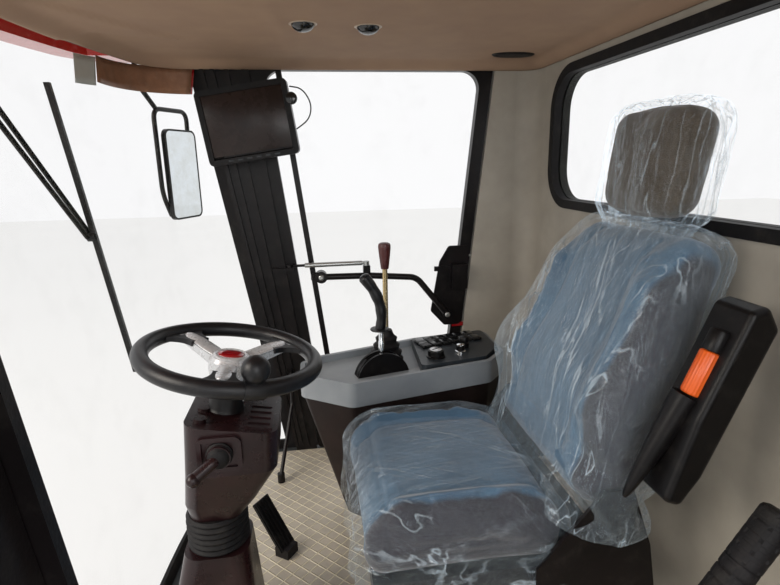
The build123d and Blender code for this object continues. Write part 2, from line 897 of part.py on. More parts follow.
def make_switches():
    """Two rows of rocker switches and three knobs on the switch panel."""
    top = console_z + panel_rise
    long, wide, high = switch_size
    rocker = box((-long / 2, long / 2), (-wide / 2, wide / 2), (0, high))
    pieces = []
    for start in switch_rows:
        x, y = console_points([start])[0]
        row = Pos(x, y, top) * Rot(0, 0, console_turn)
        for step in range(6):
            pieces.append(row * Pos(-switch_pitch * step, 0, 0) * rocker)
    for along, across, radius, height in knob_places:
        x, y = console_points([(along, across)])[0]
        pieces.append(drum(radius, height, (x, y, top)))
    return pieces


def make_quadrant():
    """Half-round quadrant of the drive lever, stepped in rings and slotted."""
    x, y = console_points([drive_lever_at])[0]
    middle = quadrant_rise - quadrant_radius
    dome = None
    for low, high, step in quadrant_rings:
        ring = drum(quadrant_radius - step, high - low, (0, low, middle), (0, 1, 0))
        dome = dome + ring if dome else ring
    reach = 2 * quadrant_radius
    dome = dome & box((-reach, reach), (-reach, reach), (-tray_depth, reach))
    dome -= box((-50, 50), (-drive_slot / 2, drive_slot / 2), (panel_rise - 4, reach))
    return Pos(x, y, console_z) * Rot(0, 0, console_turn) * dome


def make_drive_lever():
    """Drive lever: a bright rod under a bent grip."""
    x, y = console_points([drive_lever_at])[0]
    z = console_z + panel_rise - 3.7
    rod = drum(7, 118, (x, y, z))
    grip = tube_path([(x + 4, y, z + 116), (x - 12, y, z + 198), (x + 44, y, z + 268)], 20, 60)
    collar = drum(28, 8, (x, y, z + 112))
    return rod + grip + collar


def make_gaiter():
    """Ribbed rubber gaiter of the gear lever."""
    x, y = console_points([gear_lever_at])[0]
    bore = gear_rod_radius + 0.3
    points = [(bore, 0), (54, 0)]
    for level, wide in ((14, 54), (23, 46), (37, 50), (46, 39), (60, 43), (69, 32), (83, 35), (92, 25), (110, 18)):
        points.append((wide, level))
    points.append((bore, 110))
    profile = make_face(Plane.XZ * Polyline(*points, close=True))
    return Pos(x, y, console_z - tray_depth) * revolve(profile, Axis.Z)


def make_gear_lever():
    """Gear lever: a long rod through the gaiter under a tapered knob."""
    x, y = console_points([gear_lever_at])[0]
    low = console_z - tray_depth
    height = 312
    rod = drum(gear_rod_radius, height, (x, y, low))
    knob = Pos(x, y, low + height) * extrude(Circle(13), 78, taper=-6)
    return rod + fillet(knob.edges().sort_by(Axis.Z)[-1], 6)


def make_pedal():
    """Accelerator pedal: a steep ribbed plate hinged on a floor bracket, turned a little outwards."""
    length, width = pedal_size
    plate = Box(length, width, 8)
    for step in range(5):
        plate += Pos(0, (step - 2) * width / 5, 6) * Box(length - 4, 5, 5)
    rise = length / 2 * sin(radians(pedal_lean))
    plate = Pos(0, 0, rise + 22) * Rot(0, -pedal_lean, 0) * plate
    toe = -length / 2 * cos(radians(pedal_lean))
    plate += box((toe - 20, toe + 26), (-24, 24), (0, 30))
    return Pos(pedal_at[0], pedal_at[1], floor_z) * Rot(0, 0, -pedal_turn) * plate


def make_pedal_rod():
    """Bent hand rod that comes off the right pillar down to a rubber foot on the floor."""
    root_y = -half_width + wall + pillar_rib
    root_z = floor_z + 345
    root_x = pillar_rear(root_z) + 0.42 * (pillar_front(root_z) - pillar_rear(root_z))
    x, y = rod_foot
    points = [
        (root_x, root_y, root_z),
        (root_x, root_y + 34, root_z),
        (root_x + 2, root_y + 44, root_z - 115),
        (x, y, floor_z + 26),
    ]
    rod = tube_path(points, 7, 14)
    return rod + drum(13, 34, (x, y, floor_z))


def make_parking_brake():
    """Parking brake lever on a floor bracket, bent back to a ribbed rubber grip."""
    low = (brake_foot_x, brake_y, floor_z + 30)
    bend = (brake_bend[0], brake_y, brake_bend[1])
    run = (brake_top[0] - bend[0], 0, brake_top[1] - bend[2])
    length = hypot(run[0], run[2])
    share = 1 - 20 / length
    stem_top = (bend[0] + share * run[0], brake_y, bend[2] + share * run[2])
    lever = tube_path([low, bend, stem_top], 11, 60)
    start = Plane(origin=(brake_top[0], brake_y, brake_top[1]), z_dir=(-run[0], 0, -run[2]))
    lever += start * Cylinder(brake_grip - 3, 186, align=(Align.CENTER, Align.CENTER, Align.MIN))
    for step in range(9):
        rib = Cylinder(brake_grip, 14, align=(Align.CENTER, Align.CENTER, Align.MIN))
        lever += start * Pos(0, 0, 5 + 20 * step) * rib
    bracket = box((brake_foot_x - 60, brake_foot_x + 60), (brake_y - 30, brake_y + 30), (floor_z, floor_z + 12))
    return lever + bracket + box((brake_foot_x - 20, brake_foot_x + 20), (brake_y - 15, brake_y + 15), (floor_z, floor_z + 50))


def make_seat_base():
    """Seat pedestal, its suspension bellows and the lower slide rails."""
    rear, front = seat_base_x
    half = seat_half_width - 50

    def layer(inset, low, high):
        return box((rear + inset, front - inset), (inset - half, half - inset), (low, high))

    base = layer(10, floor_z, floor_z + 60) + layer(30, floor_z + 60, seat_base_top - 20)
    for step in range(4):
        low = floor_z + 78 + 40 * step
        base += layer(18, low, low + 20)
    base += layer(0, seat_base_top - 20, seat_base_top)
    for y in (-rail_y, rail_y):
        base += box((rear, front), (y - 16, y + 16), (seat_base_top, seat_base_top + rail_height))
    return base


def make_seat_frame():
    """Sliding seat frame: upper rails, pan and the backrest's side brackets."""
    low = seat_base_top + rail_height + 0.3
    pan = box((seat_tail_x, 120), (-seat_half_width + 20, seat_half_width - 20), (low + 8, cushion_z - 0.3))
    for y in (-rail_y, rail_y):
        pan += box((-320, 90), (y - 22, y + 22), (low, low + 9))
    for side in (-1, 1):
        y = sorted((side * (seat_half_width + 8), side * (seat_half_width + 16)))
        arm = side_plate(
            (
                (-200, cushion_z - 30),
                (-200, cushion_z + 20),
                (back_pivot_x + 30, back_pivot_z + 30),
                (back_pivot_x - 30, back_pivot_z + 30),
                (back_pivot_x - 78, cushion_z + 48),
                (back_pivot_x - 98, seat_base_top + 10),
                (-290, seat_base_top + 10),
            ),
            y,
        )
        inner = sorted((side * (seat_half_width - 25), side * (seat_half_width + 9)))
        pan += arm + box((-280, -200), inner, (cushion_z - 30, cushion_z - 12))
        pan += drum(pivot_pin, 24, (back_pivot_x, side * (seat_half_width + 12), back_pivot_z), (0, -side, 0))
    return pan


def make_cushion():
    """Seat cushion with a rounded front."""
    tail_z = back_pivot_z - back_radius - 12
    outline = (
        (seat_tail_x, cushion_z),
        (seat_front_x - 20, cushion_z),
        (seat_front_x, cushion_z + 30),
        (seat_front_x, cushion_top - 14),
        (seat_front_x - 60, cushion_top + 4),
        (seat_rear_x, cushion_top - 6),
        (seat_rear_x, tail_z),
        (seat_tail_x, tail_z),
    )
    pad = side_plate(outline, (-seat_half_width, seat_half_width))
    return fillet(pad.edges().filter_by(Axis.Y), 9)


def back_plane():
    """Plane at the backrest's pivot whose Y axis runs up the backrest."""
    lean = radians(back_lean)
    up = Vector(-sin(lean), 0, cos(lean))
    across = Vector(0, 1, 0)
    return Plane(origin=(back_pivot_x, 0, back_pivot_z), x_dir=across, z_dir=across.cross(up))


def make_backrest():
    """Backrest, round at its foot about the pivot and narrower at the top."""
    plane = back_plane()
    half = seat_half_width - 2
    points = (
        (-half, 0),
        (half, 0),
        (half, 180),
        (back_top_half, back_length),
        (-back_top_half, back_length),
        (-half, 180),
    )
    face = make_face(Polyline(*points, close=True))
    face = fillet(face.vertices().group_by(Axis.Y)[-1], 60)
    slab = extrude(plane * Pos(0, 0, -back_radius) * face, 2 * back_radius)
    slab += drum(back_radius, 2 * half, (back_pivot_x, -half, back_pivot_z), (0, 1, 0))
    holes = []
    for side in (-1, 1):
        holes.append(drum(pivot_pin + pivot_fit, 20, (back_pivot_x, side * (half + 5), back_pivot_z), (0, -side, 0)))
    slab = slab - holes[0] - holes[1]
    x, z = arm_pivot
    boss = drum(18, arm_y[0] - 0.3 - back_top_half, (x, back_top_half, z), (0, 1, 0))
    pin = drum(9, arm_y[1] - back_top_half - 8, (x, back_top_half, z), (0, 1, 0))
    return slab + boss + pin


def make_headrest():
    """Headrest on two short posts that stand on the backrest."""
    depth, width, height = head_size
    pad = Box(depth, width, height)
    pad = fillet(pad.edges(), 30)
    rest = Pos(head_at[0], 0, head_at[1]) * Rot(0, -head_lean, 0) * pad
    top = back_plane() * Pos(0, back_length, 0)
    for x in (-70, 70):
        post = top * Pos(x, 0, 0) * Rot(-90, 0, 0) * Cylinder(head_post, 60, align=(Align.CENTER, Align.CENTER, Align.MIN))
        rest += post
    return rest


def arm_place(along, across):
    """Point in X and Z along the folded armrest from its pivot, and towards its underside."""
    lean = radians(arm_lean)
    x, z = arm_pivot
    return x - along * sin(lean) + across * cos(lean), z + along * cos(lean) + across * sin(lean)


def roller_drum(radius, extra):
    """Cylinder on the axis of the adjusting roller."""
    x, z = arm_place(arm_length - roller_from_end - roller_length - extra, arm_thickness / 2)
    lean = radians(arm_lean)
    middle = (arm_y[0] + arm_y[1]) / 2
    return drum(radius, roller_length + 2 * extra, (x, middle, z), (-sin(lean), 0, cos(lean)))


def make_armrest():
    """Left armrest, folded up beside the backrest, with a trough for its roller."""
    half = arm_thickness / 2
    corners = (
        (-arm_heel, -0.6 * half),
        (-arm_heel, 0.5 * half),
        (0.3 * arm_length, half),
        (arm_length - 20, half),
        (arm_length, 0.2 * half),
        (arm_length - 30, -half),
        (0, -half),
    )
    pad = side_plate([arm_place(along, across) for along, across in corners], arm_y, 14)
    pad = fillet(pad.faces().sort_by(Axis.Y)[-1].edges(), 12)
    x, z = arm_pivot
    pad -= drum(9 + hinge_fit, arm_width - 7.9, (x, arm_y[0], z), (0, 1, 0))
    return pad - roller_drum(roller_radius + 0.4, 0.5)


def make_arm_roller():
    """Adjusting roller half sunk in the armrest's underside."""
    return roller_drum(roller_radius, 0)


def make_monitor():
    """Monitor with a raised bezel."""
    length, depth, height = monitor_size
    case = Box(length, depth, height)
    case = fillet(case.edges().filter_by(Axis.Y), 14)
    case -= Pos(0, depth / 2 - 2, 4) * Box(length - 34, 4, height - 44)
    x, z = monitor_at
    place = Pos(x, -half_width + monitor_inset, z)
    return place * Rot(0, monitor_roll, 0) * Rot(0, 0, monitor_turn) * case


def make_monitor_arm():
    """Arm from the front pillar's ribs to the back of the monitor."""
    z = monitor_at[1]
    root_y = -half_width + wall + pillar_rib
    x = pillar_rear(z) + 0.42 * (pillar_front(z) - pillar_rear(z))
    arm = box((x - 42, x + 42), (root_y, root_y + 5), (z - 45, z + 45))
    arm += drum(16, monitor_inset - wall - pillar_rib, (x, root_y, z), (0, 1, 0))
    return arm - make_monitor()


def make_mirror():
    """Right mirror: a head on a bent tube from the roof beam."""
    x, z = mirror_at
    y = -half_width - mirror_reach
    depth, width, height = mirror_size
    head = Box(depth, width, height)
    head = fillet(head.edges().filter_by(Axis.X), 26)
    head = Pos(x, y, z) * Rot(0, 0, mirror_turn) * head
    tube_x = x + 14
    top = z + height / 2 + 90
    end = (tube_x + 66, -half_width - roof_overhang / 2 + 2)
    route = [(tube_x, y, z), (tube_x, y, top), (end[0], end[1], top + 50), (end[0], end[1], header_z + roof_lift)]
    return head + tube_path(route, mirror_tube, 28)


def make_wiper():
    """Wiper on the windscreen: a spindle under the visor, twin arms and a long blade."""
    y = -420
    low, high = 750, 1530
    top_x = screen_face(y, high)
    low_x = screen_face(y, low)
    blade = side_plate(
        ((low_x + 6, low), (low_x + 20, low), (top_x + 20, high), (top_x + 6, high)),
        (y - 6, y + 6),
    )
    middle = (low + high) / 2
    foot = (screen_face(y, middle) + 26, y, middle)
    pieces = blade + drum(12, 20, (foot[0] - 16, y, middle), (1, 0, 0))
    head_z = header_z + header_height / 2
    for shift in (-28, 28):
        face_x = screen_face(abs(shift) - 12, header_z)
        head = (face_x + 28, shift, head_z)
        run = Vector(*foot) + Vector(0, shift / 2, 0) - Vector(*head)
        pieces += drum(6, run.length, head, run)
        pieces += drum(12, 34, (face_x, shift, head_z), (1, 0, 0))
    return pieces


def screen_face(y, z):
    """X of the windscreen's outer face."""
    centre = screen_nose_x - screen_radius + screen_shift(z)
    return centre + sqrt(screen_radius ** 2 - y ** 2)


shell = make_rear_shell()
window = rear_window_block(0, (rear_x - 10, rear_x + wall + 10))
corner_y = half_width - rear_corner_radius - 20
rear_wall = shell & box((rear_x - 60, 0), (-corner_y, corner_y), (deck_z, header_z)) - window
rear_corner = shell & box((rear_x - 60, 0), (-half_width - 10, -corner_y), (deck_z, header_z))

door_right = {"frame": make_door_frame(), "glass": make_door_glass(), "handle": make_door_handle()}
spring_rod = make_spring_rod()
spring_tube = make_spring_tube()
pillar = make_pillar()
mirror_right = make_mirror()

nodes = {
    "cab_mounts": make_mounts(),
    "base_frame": make_base_frame(),
    "floor_pan": make_floor_pan(),
    "tread_plate": make_tread_plate(),
    "front_pillar_right": pillar,
    "front_pillar_left": left(pillar),
    "rear_corner_right": rear_corner,
    "rear_corner_left": left(rear_corner),
    "rear_wall": rear_wall,
    "rear_window_gasket": make_gasket(),
    "rear_window_glass": make_rear_glass(),
    "windscreen_glass": make_windscreen(),
    "windscreen_seal": make_screen_seal(),
    "roof_beam": make_header(),
    "headliner": make_headliner(),
    "roof_cap": make_roof(),
    "ceiling_fittings": make_ceiling_lights(),
    "column_foot": make_foot(),
    "column_bellows": make_bellows(),
    "column_housing": make_housing(),
    "steering_rim": make_rim(),
    "steering_hub": make_wheel_hub(),
    "console_band": make_console_band(),
    "console_body": make_console_body(),
    "switch_panel": make_switch_panel(),
    "console_switches": make_switches(),
    "lever_quadrant": make_quadrant(),
    "drive_lever": make_drive_lever(),
    "gear_gaiter": make_gaiter(),
    "gear_lever": make_gear_lever(),
    "accelerator_pedal": make_pedal(),
    "hand_rod": make_pedal_rod(),
    "parking_brake": make_parking_brake(),
    "seat_base": make_seat_base(),
    "seat_frame": make_seat_frame(),
    "seat_cushion": make_cushion(),
    "backrest": make_backrest(),
    "headrest": make_headrest(),
    "armrest": make_armrest(),
    "armrest_roller": make_arm_roller(),
    "monitor": make_monitor(),
    "monitor_arm": make_monitor_arm(),
    "mirror_right": mirror_right,
    "mirror_left": left(mirror_right),
    "wiper": make_wiper(),
    "door_right_frame": door_right["frame"],
    "door_right_glass": door_right["glass"],
    "door_right_handle": door_right["handle"],
    "door_left_frame": swing(left(door_right["frame"]), door_open),
    "door_left_glass": swing(left(door_right["glass"]), door_open),
    "door_left_handle": swing(left(door_right["handle"]), door_open),
    "spring_right_rod": spring_rod,
    "spring_right_tube": spring_tube,
    "spring_left_rod": swing_spring(left(spring_rod), door_open),
    "spring_left_tube": swing_spring(Pos(-spring_open()[1], 0, 0) * left(spring_tube), door_open),
}

for name, shape in nodes.items():
    solids = []
    for piece in shape if isinstance(shape, (list, tuple)) else [shape]:
        solids += piece.solids()
    export_step(Compound(children=solids) if len(solids) > 1 else solids[0], f"parts/{name}.step")
    print(name, len(solids))
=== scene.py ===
import math

import bmesh
import bpy
from mathutils import Matrix, Vector, noise


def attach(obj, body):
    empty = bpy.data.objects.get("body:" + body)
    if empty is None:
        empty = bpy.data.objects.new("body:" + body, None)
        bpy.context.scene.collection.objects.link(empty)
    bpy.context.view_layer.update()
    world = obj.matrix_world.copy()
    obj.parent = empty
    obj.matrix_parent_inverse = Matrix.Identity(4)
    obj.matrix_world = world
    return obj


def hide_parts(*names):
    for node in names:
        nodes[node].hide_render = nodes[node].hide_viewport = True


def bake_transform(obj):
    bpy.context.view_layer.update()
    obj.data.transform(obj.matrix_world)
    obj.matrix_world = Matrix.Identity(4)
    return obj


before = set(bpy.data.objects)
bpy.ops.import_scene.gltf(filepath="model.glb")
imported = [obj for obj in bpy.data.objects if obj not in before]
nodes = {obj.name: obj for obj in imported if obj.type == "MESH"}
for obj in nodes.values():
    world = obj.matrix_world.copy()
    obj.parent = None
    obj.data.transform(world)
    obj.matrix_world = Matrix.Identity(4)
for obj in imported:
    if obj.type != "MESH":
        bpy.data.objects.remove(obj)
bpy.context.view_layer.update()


def newObject(name, data):
    made = bpy.data.objects.new(name, data)
    bpy.context.scene.collection.objects.link(made)
    return made


def turned(degrees, axis):
    return Matrix.Rotation(math.radians(degrees), 4, axis)


print("camera")
cameraView = {
    "location": (0.20, 1.10, 1.32),  # metres: in the left doorway, at head height
    "lens": 24.46, "sensor": 36,     # mm
    "nearest": 0.02,                 # metres, nothing nearer is drawn
    "yaw": 8.1,                      # degrees from straight across the cab towards the rear
    "pitch": 13.8,                   # degrees downwards
    "roll": 1.1,                     # degrees, the horizon rises to the right
}
cameraData = bpy.data.cameras.new("doorwayCamera")
cameraData.lens = cameraView["lens"]
cameraData.sensor_width = cameraView["sensor"]
cameraData.clip_start = cameraView["nearest"]
camera = newObject("doorwayCamera", cameraData)
camera.matrix_world = (
    Matrix.Translation(cameraView["location"]) @ turned(180 - cameraView["yaw"], "Z")
    @ turned(90 - cameraView["pitch"], "X") @ turned(-cameraView["roll"], "Z")
)
bpy.context.scene.camera = camera


def linearColour(hexValue):
    channels = [int(hexValue[i:i + 2], 16) / 255 for i in (1, 3, 5)]
    return tuple(c / 12.92 if c < 0.04045 else ((c + 0.055) / 1.055) ** 2.4 for c in channels) + (1,)


def addNode(tree, kind, settings=None, inputs=None, stops=()):
    # inputs take a value, an output to link, or a node whose first output is linked;
    # stops are the two ends of a colour ramp
    made = tree.nodes.new("ShaderNode" + kind)
    for key, value in (settings or {}).items():
        setattr(made, key, value)
    for key, value in (inputs or {}).items():
        if isinstance(value, bpy.types.Node):
            value = value.outputs[0]
        if isinstance(value, bpy.types.NodeSocket):
            tree.links.new(value, made.inputs[key])
        else:
            made.inputs[key].default_value = value
    for number, (position, colour) in enumerate(stops):
        made.color_ramp.elements[number].position = position
        made.color_ramp.elements[number].color = linearColour(colour)
    return made


def newMaterial(name):
    # every pattern reads Object coordinates
    material = bpy.data.materials.new(name)
    material.use_nodes = True
    tree = material.node_tree
    tree.nodes.clear()
    return material, tree, addNode(tree, "TexCoord").outputs["Object"]


def closeMaterial(tree, shader):
    addNode(tree, "OutputMaterial", inputs={"Surface": shader})


# Hard finishes: a base colour that varies a little, dust or scuffs over it, and a surface grain.
# patch and grain are real spacings in millimetres, depth is how far the grain stands up.
def hardFinish(name, light, dark, rough=0.5, grain=1.2, depth=0.12, metallic=0.0, patch=90.0,
               dustShare=0.12, lacquer=0.0, spread=0.08, specular=0.5):
    material, tree, place = newMaterial(name)
    cloud = addNode(tree, "TexNoise", inputs={"Vector": place, "Scale": 1000 / patch, "Detail": 4.0})
    fine = addNode(tree, "TexNoise", inputs={"Vector": place, "Scale": 1000 / grain, "Detail": 2.0})
    base = addNode(tree, "ValToRGB", inputs={"Fac": cloud}, stops=((0.3, dark), (0.7, light)))
    scuff = addNode(tree, "TexNoise", inputs={"Vector": place, "Scale": 26.0, "Detail": 9.0,
                                              "Roughness": 0.75})
    mask = addNode(tree, "MapRange", inputs={"Value": scuff, "From Min": 0.52, "From Max": 0.78,
                                             "To Max": dustShare})
    dusty = addNode(tree, "Mix", {"data_type": "RGBA"}, {0: mask, 6: base, 7: linearColour("#b9b2a4")})
    gloss = addNode(tree, "MapRange", inputs={"Value": scuff, "From Min": 0.25, "From Max": 0.8,
                                              "To Min": rough - spread, "To Max": rough + spread})
    bump = addNode(tree, "Bump", inputs={"Strength": depth, "Distance": 0.001, "Height": fine})
    closeMaterial(tree, addNode(tree, "BsdfPrincipled", inputs={
        "Base Color": dusty.outputs[2], "Roughness": gloss, "Metallic": metallic,
        "Specular IOR Level": specular, "Coat Weight": lacquer, "Coat Roughness": 0.08, "Normal": bump}))
    return material


print("materials")
finishes = {
    # powder coat on folded steel: near black, a soft sheen with a slight orange peel
    "powderCoatBlack": dict(light="#151112", dark="#0c0a0b", rough=0.34, grain=2.5, depth=0.18,
                            dustShare=0.03, specular=0.22),
    # moulded ABS trim of the rear wall: warm light grey, fine leather grain, matt
    "absTrimGrey": dict(light="#aaa59b", dark="#9d988e", rough=0.6, grain=1.1, depth=0.22, dustShare=0.06),
    # roof lining of moulded felt: warm tan, very matt
    "linerFeltTan": dict(light="#a0856f", dark="#987d6a", rough=0.85, grain=1.6, depth=0.35, dustShare=0.05),
    # console band of painted ABS: mid grey, satin
    "absSatinGrey": dict(light="#858b90", dark="#7a8086", rough=0.45, grain=1.0, depth=0.10, dustShare=0.05),
    # lower console of grained PP: very dark brown
    "ppDarkBrown": dict(light="#241a19", dark="#1b1413", rough=0.5, grain=1.3, depth=0.25,
                        dustShare=0.03, specular=0.22),
    # switch panel: slate grey, satin
    "absSlate": dict(light="#272d33", dark="#20262b", rough=0.4, grain=0.9, depth=0.12, dustShare=0.04),
    # moulded rubber: black, matt, powdery
    "rubberBlack": dict(light="#131113", dark="#0c0b0c", rough=0.6, grain=1.4, depth=0.3,
                        dustShare=0.05, specular=0.22),
    # polyurethane skin of the steering wheel: black, finely grained, satin
    "polyurethaneBlack": dict(light="#17171a", dark="#101013", rough=0.36, grain=1.2, depth=0.3,
                              dustShare=0.03, specular=0.35),
    # moulded black ABS of housings and the monitor: satin
    "absBlack": dict(light="#100e0f", dark="#0a090a", rough=0.36, grain=1.0, depth=0.2,
                     dustShare=0.03, specular=0.22),
    # column housing and foot of black ABS with a reddish cast: glossy moulded skin
    "absGlossBlack": dict(light="#281416", dark="#180c0d", rough=0.30, grain=1.6, depth=0.1, dustShare=0.0,
                          specular=0.35),
    # painted aluminium of the spokes: bright silver with a soft gloss
    "silverPaint": dict(light="#d3d6da", dark="#c6c9cd", rough=0.28, grain=2.0, depth=0.05, metallic=0.35,
                        dustShare=0.05),
    # chromed steel of lever rods
    "chromedSteel": dict(light="#e4e6e8", dark="#d8dadc", rough=0.12, grain=3.0, depth=0.02, metallic=1.0,
                         dustShare=0.02, spread=0.04),
    # zinc plated steel of fasteners and spring tubes
    "zincPlate": dict(light="#b9bbb9", dark="#a5a7a6", rough=0.35, grain=2.0, depth=0.08, metallic=0.9,
                      dustShare=0.05),
    # roof shell of gelcoated glass fibre: bright red, glossy
    "gelcoatRed": dict(light="#c8322c", dark="#bd2b26", rough=0.25, grain=4.0, depth=0.04, lacquer=0.6,
                       dustShare=0.05),
    # painted steel of the base frame and floor pan
    "enamelDarkGrey": dict(light="#3c3f40", dark="#333637", rough=0.45, grain=3.0, depth=0.12),
    # dyed polypropylene of the adjusting roller: orange, slightly waxy
    "ppOrange": dict(light="#e2621f", dark="#d4551a", rough=0.36, grain=1.2, depth=0.12, dustShare=0.04),
}
hard = {name: hardFinish(name, **values) for name, values in finishes.items()}


# Safety glass: nearly clear, a faint green tint that grows at a slant and there is also a painted reflection,
# thin dirt in clouds.
def paneFinish():
    material, tree, place = newMaterial("safetyGlass")
    dirt = addNode(tree, "TexNoise", inputs={"Vector": place, "Scale": 7.0, "Detail": 8.0, "Roughness": 0.7})
    slant = addNode(tree, "LayerWeight", inputs={"Blend": 0.25})
    # painted reflection together with the real green tint: the pale tint's alpha rises at a slant
    tintAndPaintedSheen = addNode(tree, "MapRange", inputs={"Value": slant.outputs["Facing"], "To Min": 0.01,
                                             "To Max": 0.06})
    smear = addNode(tree, "MapRange", inputs={"Value": dirt, "From Min": 0.5, "From Max": 0.8,
                                              "To Max": 0.03})
    alpha = addNode(tree, "Math", {"operation": "ADD", "use_clamp": True}, {0: tintAndPaintedSheen, 1: smear})
    closeMaterial(tree, addNode(tree, "BsdfPrincipled", inputs={
        "Base Color": linearColour("#c6d4cd"), "Roughness": 0.03, "IOR": 1.52, "Alpha": alpha}))
    return material


# Tread plate: rolled aluminium with crossed ribs, lighter and yellower on the ribs than in the hollows, whose
# colour varies in clouds.
def treadPlateFinish(ribSpacing=17):
    # ribSpacing in millimetres: a wave texture makes one band per 2 pi units
    material, tree, place = newMaterial("treadPlateAluminium")
    bands = []
    for turn in (45, -45):
        across = addNode(tree, "Mapping", inputs={"Vector": place, "Rotation": (0, 0, math.radians(turn)),
                                                  "Scale": (1, 1, 0)})
        wave = addNode(tree, "TexWave", {"bands_direction": "X", "wave_profile": "SIN"},
                       {"Vector": across, "Scale": 1000 / ribSpacing / 6.28, "Distortion": 0.0})
        bands.append(addNode(tree, "MapRange", {"interpolation_type": "SMOOTHSTEP"},
                             {"Value": wave.outputs["Fac"], "From Min": 0.94}))
    ribs = addNode(tree, "Math", {"operation": "MAXIMUM"}, {0: bands[0], 1: bands[1]})
    dust = addNode(tree, "TexNoise", inputs={"Vector": place, "Scale": 12.0, "Detail": 8.0, "Roughness": 0.7})
    hollow = addNode(tree, "ValToRGB", inputs={"Fac": dust}, stops=((0.3, "#aea79b"), (0.75, "#c8bead")))
    colour = addNode(tree, "Mix", {"data_type": "RGBA"}, {0: ribs, 6: hollow, 7: linearColour("#ded5ba")})
    bump = addNode(tree, "Bump", inputs={"Strength": 0.9, "Distance": 0.002, "Height": ribs})
    closeMaterial(tree, addNode(tree, "BsdfPrincipled", inputs={
        "Base Color": colour.outputs[2], "Roughness": 0.45, "Metallic": 0.2, "Normal": bump}))
    return material


# Woven polyester of the seat: 2 mm threads drawn at 3 mm so that they show, each painted lighter at its
# middle and darker at its edges (painted highlight and painted shade of the weave), side panels in a darker
# cloth.
def wovenFinish(name, light, dark, side, thread=3.0):
    material, tree, place = newMaterial(name)
    cloud = addNode(tree, "TexNoise", inputs={"Vector": place, "Scale": 9.0, "Detail": 5.0})
    weave = addNode(tree, "TexVoronoi", inputs={"Vector": place, "Scale": 1000 / thread})
    base = addNode(tree, "ValToRGB", inputs={"Fac": cloud}, stops=((0.3, dark), (0.72, light)))
    # painted highlight and painted shade: the colour is multiplied by 1.1 at a thread's middle, falling to
    # 0.72 between threads
    shade = addNode(tree, "MapRange", inputs={"Value": weave, "From Max": 0.7, "To Min": 1.1, "To Max": 0.72})
    axes = addNode(tree, "SeparateXYZ", inputs={0: place})
    out = addNode(tree, "Math", {"operation": "ABSOLUTE"}, {0: axes.outputs[1]})
    panel = addNode(tree, "MapRange", {"interpolation_type": "SMOOTHSTEP"},
                    {"Value": out, "From Min": 0.188, "From Max": 0.200})
    sided = addNode(tree, "Mix", {"data_type": "RGBA"}, {0: panel, 6: base, 7: linearColour(side)})
    colour = addNode(tree, "Mix", {"data_type": "RGBA", "blend_type": "MULTIPLY"},
                     {0: 1.0, 6: sided.outputs[2], 7: shade})
    bump = addNode(tree, "Bump", inputs={"Strength": 0.5, "Distance": 0.0008, "Height": weave})
    closeMaterial(tree, addNode(tree, "BsdfPrincipled", inputs={
        "Base Color": colour.outputs[2], "Roughness": 0.85, "Sheen Weight": 0.3, "Normal": bump}))
    return material


safetyGlass = paneFinish()
treadPlate = treadPlateFinish()
seatCloth = wovenFinish("polyesterWeaveBlueGrey", "#476c89", "#395873", "#24222c")
headCloth = wovenFinish("polyesterWeaveOlive", "#5d5346", "#4b4338", "#33302b")


print("finishes on the CAD nodes")
nodeFinishes = {
    "rubberBlack": ["cab_mounts", "rear_window_gasket", "windscreen_seal", "column_bellows", "gear_gaiter",
                    "accelerator_pedal", "parking_brake"],
    "enamelDarkGrey": ["base_frame", "floor_pan"],
    "absGlossBlack": ["column_foot", "column_housing"],
    "powderCoatBlack": ["front_pillar_right", "front_pillar_left", "hand_rod", "seat_base",
                        "door_right_frame", "door_left_frame", "door_right_handle", "door_left_handle",
                        "monitor_arm", "wiper", "spring_right_rod", "spring_left_rod", "seat_frame"],
    "absTrimGrey": ["rear_corner_right", "rear_corner_left", "rear_wall"],
    "linerFeltTan": ["headliner", "roof_beam"],
    "gelcoatRed": ["roof_cap"],
    "absBlack": ["ceiling_fittings", "monitor", "mirror_right", "mirror_left", "armrest",
                 "console_switches", "lever_quadrant", "gear_lever"],
    "polyurethaneBlack": ["steering_rim", "drive_lever"],
    "silverPaint": ["steering_hub"],
    "absSatinGrey": ["console_band"],
    "ppDarkBrown": ["console_body"],
    "absSlate": ["switch_panel"],
    "ppOrange": ["armrest_roller"],
    "zincPlate": ["spring_right_tube", "spring_left_tube"],
}


def coat(piece, material):
    piece.data.materials.clear()
    piece.data.materials.append(material)


for finishName, names in nodeFinishes.items():
    for name in names:
        coat(nodes[name], hard[finishName])
for name in ("windscreen_glass", "rear_window_glass", "door_right_glass", "door_left_glass"):
    coat(nodes[name], safetyGlass)
coat(nodes["tread_plate"], treadPlate)
for name in ("seat_cushion", "backrest"):
    coat(nodes[name], seatCloth)
coat(nodes["headrest"], headCloth)

